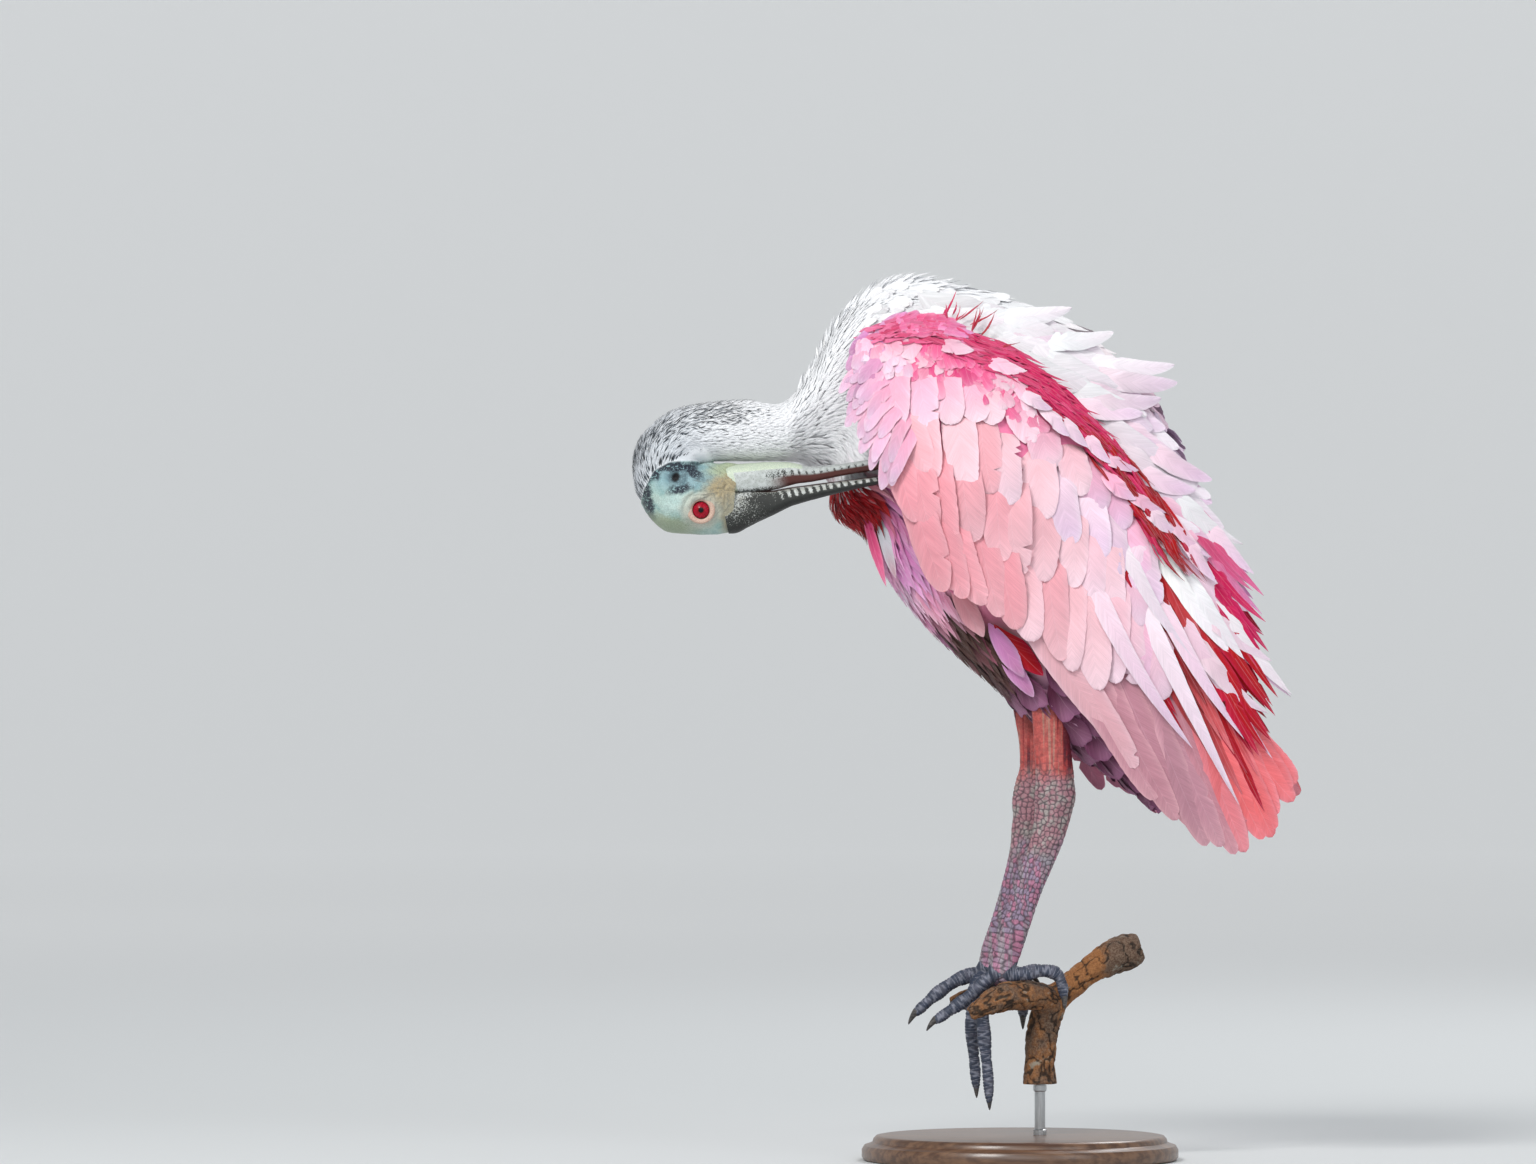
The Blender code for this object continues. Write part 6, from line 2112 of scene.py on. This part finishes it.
@dataclass
class Perch:
    """The cut length of branch: a stem, two prongs that the feet grip, and a knobby limb.

    Each row holds x, y, z and the radius.
    """

    parts: tuple[tuple[tuple[float, float, float, float], ...], ...] = (
        ((12, 2, 45, 11), (12, 2, 60, 10), (14, 2, 80, 10.5), (19, 2, 97, 10.5)),
        ((19, 2, 95, 10), (7, -12, 99, 9.4), (-6, -22, 99.6, 9.6), (-17, -29, 96, 8.4), (-31, -35, 89, 4.6)),
        ((19, 2, 95, 10), (5, 14, 99.4, 9.2), (-10, 20, 100, 9), (-25, 24, 97, 7.6), (-41, 27, 92, 5)),
        (
            (18, 2, 94, 9.5), (31, 4, 105, 8.8), (43, 7, 114, 9), (56, 10, 121, 11.5), (67, 12, 125.5, 11),
            (73, 13, 127.5, 8),
        ),
    )
    voxel: float = 0.9

    def build(self, finish: bpy.types.Material) -> None:
        """Makes the branch."""
        rows = [np.array(part) for part in self.parts]
        tubes = [tube(row[:, :3], row[:, 3], 60, 32) for row in rows]
        points, outs, faces = fused(together(tubes), self.voxel)
        run, turn, part = unrolled(points, [row[:, :3] for row in rows])
        grain_spots = np.stack([run / 3.2, turn * 4.0, part * 31.0], axis=-1)
        ridge = 1 - np.abs(grain(grain_spots, 2.6, 2.0, 3)) * 2.2
        crack = np.clip(ridge, 0, 1) ** 3
        rise = 0.9 * grain(points, 9.0, 1.0, 2) + 0.35 * grain(points, 2.4, 4.0, 2) - 1.1 * crack
        limb = soft_step(points[:, 0], 38, 62)
        rise += limb * 1.5 * grain(points, 6.5, 8.0, 2)
        foot = soft_step(-points[:, 2], -50, -46)
        orange = np.where(part == 3, 0.75 - 0.7 * limb, 0.35) + 0.1
        values = np.stack([crack, orange, 0 * crack], axis=-1)
        points = points + outs * (rise * (1 - foot) - 0.6)[:, None]
        points[:, 2] = np.maximum(points[:, 2], 45.2)
        add_piece("perch_branch", Solid(points, faces, {"bark": values}), finish, ["perch"])


@dataclass
class Stand:
    """The plain display stand: a round wooden base and a steel rod."""

    rod_middle: tuple[float, float] = (12.0, 2.0)
    base_profile: tuple[tuple[float, float], ...] = (
        (0.01, 0), (92, 0), (94, 0.6), (95, 2.5), (95, 6.5), (93.5, 9), (90, 10.2), (88.5, 11), (88, 13),
        (86.5, 14.6), (84, 15), (0.01, 15),
    )
    rod_profile: tuple[tuple[float, float], ...] = (
        (0.01, 15.1), (4, 15.1), (4, 18), (3.2, 18.6), (3.2, 41), (4, 41.6), (4, 44.9), (0.01, 44.9),
    )

    def build(self, wood: bpy.types.Material, metal: bpy.types.Material) -> None:
        """Makes the base and the rod."""
        base = turned(np.array(self.base_profile), 256)
        add_piece("stand_base_turned", base, wood, ["stand_base"], crease=40)
        rod = turned(np.array(self.rod_profile), 64)
        rod.points = rod.points + (*self.rod_middle, 0.0)
        add_piece("stand_rod_steel", rod, metal, ["stand_rod"], crease=30)


@dataclass(frozen=True)
class Lamp:
    """A soft square light: where it stands, what it faces, its size in metres and its watts."""

    name: str
    place: tuple[float, float, float]
    size: float
    watts: float
    colour: tuple[float, float, float] = (1.0, 1.0, 1.0)
    target: tuple[float, float, float] = (0.0, 0.0, 0.36)

    def build(self) -> None:
        """Hangs the light."""
        data = bpy.data.lights.new(self.name, "AREA")
        data.size, data.energy, data.color = self.size, self.watts, self.colour
        made = bpy.data.objects.new(self.name, data)
        made.location = self.place
        made.rotation_euler = (Vector(self.target) - made.location).to_track_quat("-Z", "Y").to_euler()
        bpy.context.scene.collection.objects.link(made)


@dataclass
class Studio:
    """A pale round floor that curves up all round, soft lights, and a camera where the photo's stood."""

    floor_reach: float = 6.8
    curve: float = 1.4
    wall: float = 4.0
    camera_place: tuple[float, float, float] = (-0.1512, -6.0, 0.3468)
    lens: float = 234.375
    lamps: tuple[Lamp, ...] = (
        Lamp("key", (-1.3, -2.2, 2.5), 1.0, 76, (1.0, 0.985, 0.96)),
        Lamp("fill", (2.1, -2.5, 1.9), 1.6, 20, (0.95, 0.98, 1.0)),
        Lamp("rim", (0.9, 1.7, 2.2), 1.0, 30),
        Lamp("front", (0.1, -3.0, 1.7), 1.4, 14),
    )

    def build(self) -> None:
        """Sets the stage."""
        floor = bpy.data.objects.new("studio_floor", self._bowl().mesh("studio_floor", 60))
        bpy.context.scene.collection.objects.link(floor)
        floor.data.materials.append(PaperFinish().material())
        for lamp in self.lamps:
            lamp.build()
        world = bpy.data.worlds.new("studio_air")
        world.use_nodes = True
        world.node_tree.nodes["Background"].inputs[0].default_value = (0.80, 0.84, 0.88, 1)
        world.node_tree.nodes["Background"].inputs[1].default_value = 0.34
        bpy.context.scene.world = world
        bpy.context.scene.view_settings.view_transform = "Standard"
        self._camera()

    def _bowl(self) -> Solid:
        """The floor, its curve and the wall, all round, as one sheet."""
        turn = np.linspace(0, math.pi / 2, 24)
        out, up = self.floor_reach + self.curve * np.sin(turn), self.curve * (1 - np.cos(turn))
        curve = np.stack([out, up], axis=-1)
        wall = (self.floor_reach + self.curve, self.wall)
        profile = np.concatenate([[(0.01, 0.0)], curve, [wall]]) / MM
        bowl = turned(profile, 128)
        return Solid(bowl.points, [bowl.faces[0][:, ::-1], bowl.faces[1][:1]])

    def _camera(self) -> None:
        """Places the camera level with the bird's middle."""
        data = bpy.data.cameras.new("photo_camera")
        data.sensor_width, data.lens = 36.0, self.lens
        data.clip_start, data.clip_end = 0.1, 40.0
        camera = bpy.data.objects.new("photo_camera", data)
        camera.location = self.camera_place
        camera.rotation_euler = (math.pi / 2, 0.0, 0.0)
        bpy.context.scene.collection.objects.link(camera)
        bpy.context.scene.camera = camera


def main() -> None:
    """Builds the bird, its stand and the studio."""
    logging.basicConfig(level=logging.INFO, format="%(message)s")
    feather, down = FeatherFinish().material(), DownFinish().material()
    form = BodyForm()
    plumage = Plumage(form, feather, FeatherFinish("feather_soft", streaks=0.4, quill=0.0).material())
    BodySkin(form, plumage).build(HeadFinish().material())
    plumage.build()
    iris, lid = EyeFinish().material(), LidFinish().material()
    for side, name in ((-1, "eye_left"), (1, "eye_right")):
        Eye(side, name).build(iris, lid)
    upper, lower = HornFinish("bill_horn_upper"), HornFinish("bill_horn_lower", horn=(0.48, 0.52, 0.52))
    Mandible("bill_upper", -1, UPPER_BILL, upper, filling=(0, 1.0, 0.8, 0.2, 0, 0)).build()
    Mandible("bill_lower", 1, LOWER_BILL, lower, filling=(0, 2.6, 3.0, 3.2, 1.6, 0)).build()
    near_flight, near_blades = (NEAR_REMIGES, CRIMSON_UNDER, TERTIALS), (BACK_SCAPULARS, LONG_SCAPULARS)
    Wing("wing_left", WingDome(-1, 17.0), near_flight, near_blades).build(feather, down)
    Wing("wing_right", WingDome(1, 3.0), (FAR_REMIGES, TERTIALS)).build(feather, down)
    Tail().build(feather, down)
    scales = ScaleFinish().material()
    claw = PlainFinish("claw_horn", (0.02, 0.02, 0.022), (0.09, 0.08, 0.075), (0.3, 1, 1), 0.9, 0.38)
    for leg in (NEAR_LEG, FAR_LEG):
        leg.build(scales, claw.material())
    Perch().build(BarkFinish().material())
    walnut = PlainFinish(
        "wood_walnut", (0.075, 0.034, 0.018), (0.17, 0.088, 0.046), (0.08, 1, 1), 0.25, 0.4, coat=0.4,
    )
    steel = PlainFinish(
        "steel_satin", (0.42, 0.43, 0.44), (0.52, 0.53, 0.54), (1, 1, 0.05), 2.0, 0.32, 1.0, 0.05,
    )
    Stand().build(walnut.material(), steel.material())
    Studio().build()


if __name__ == "__main__":
    main()
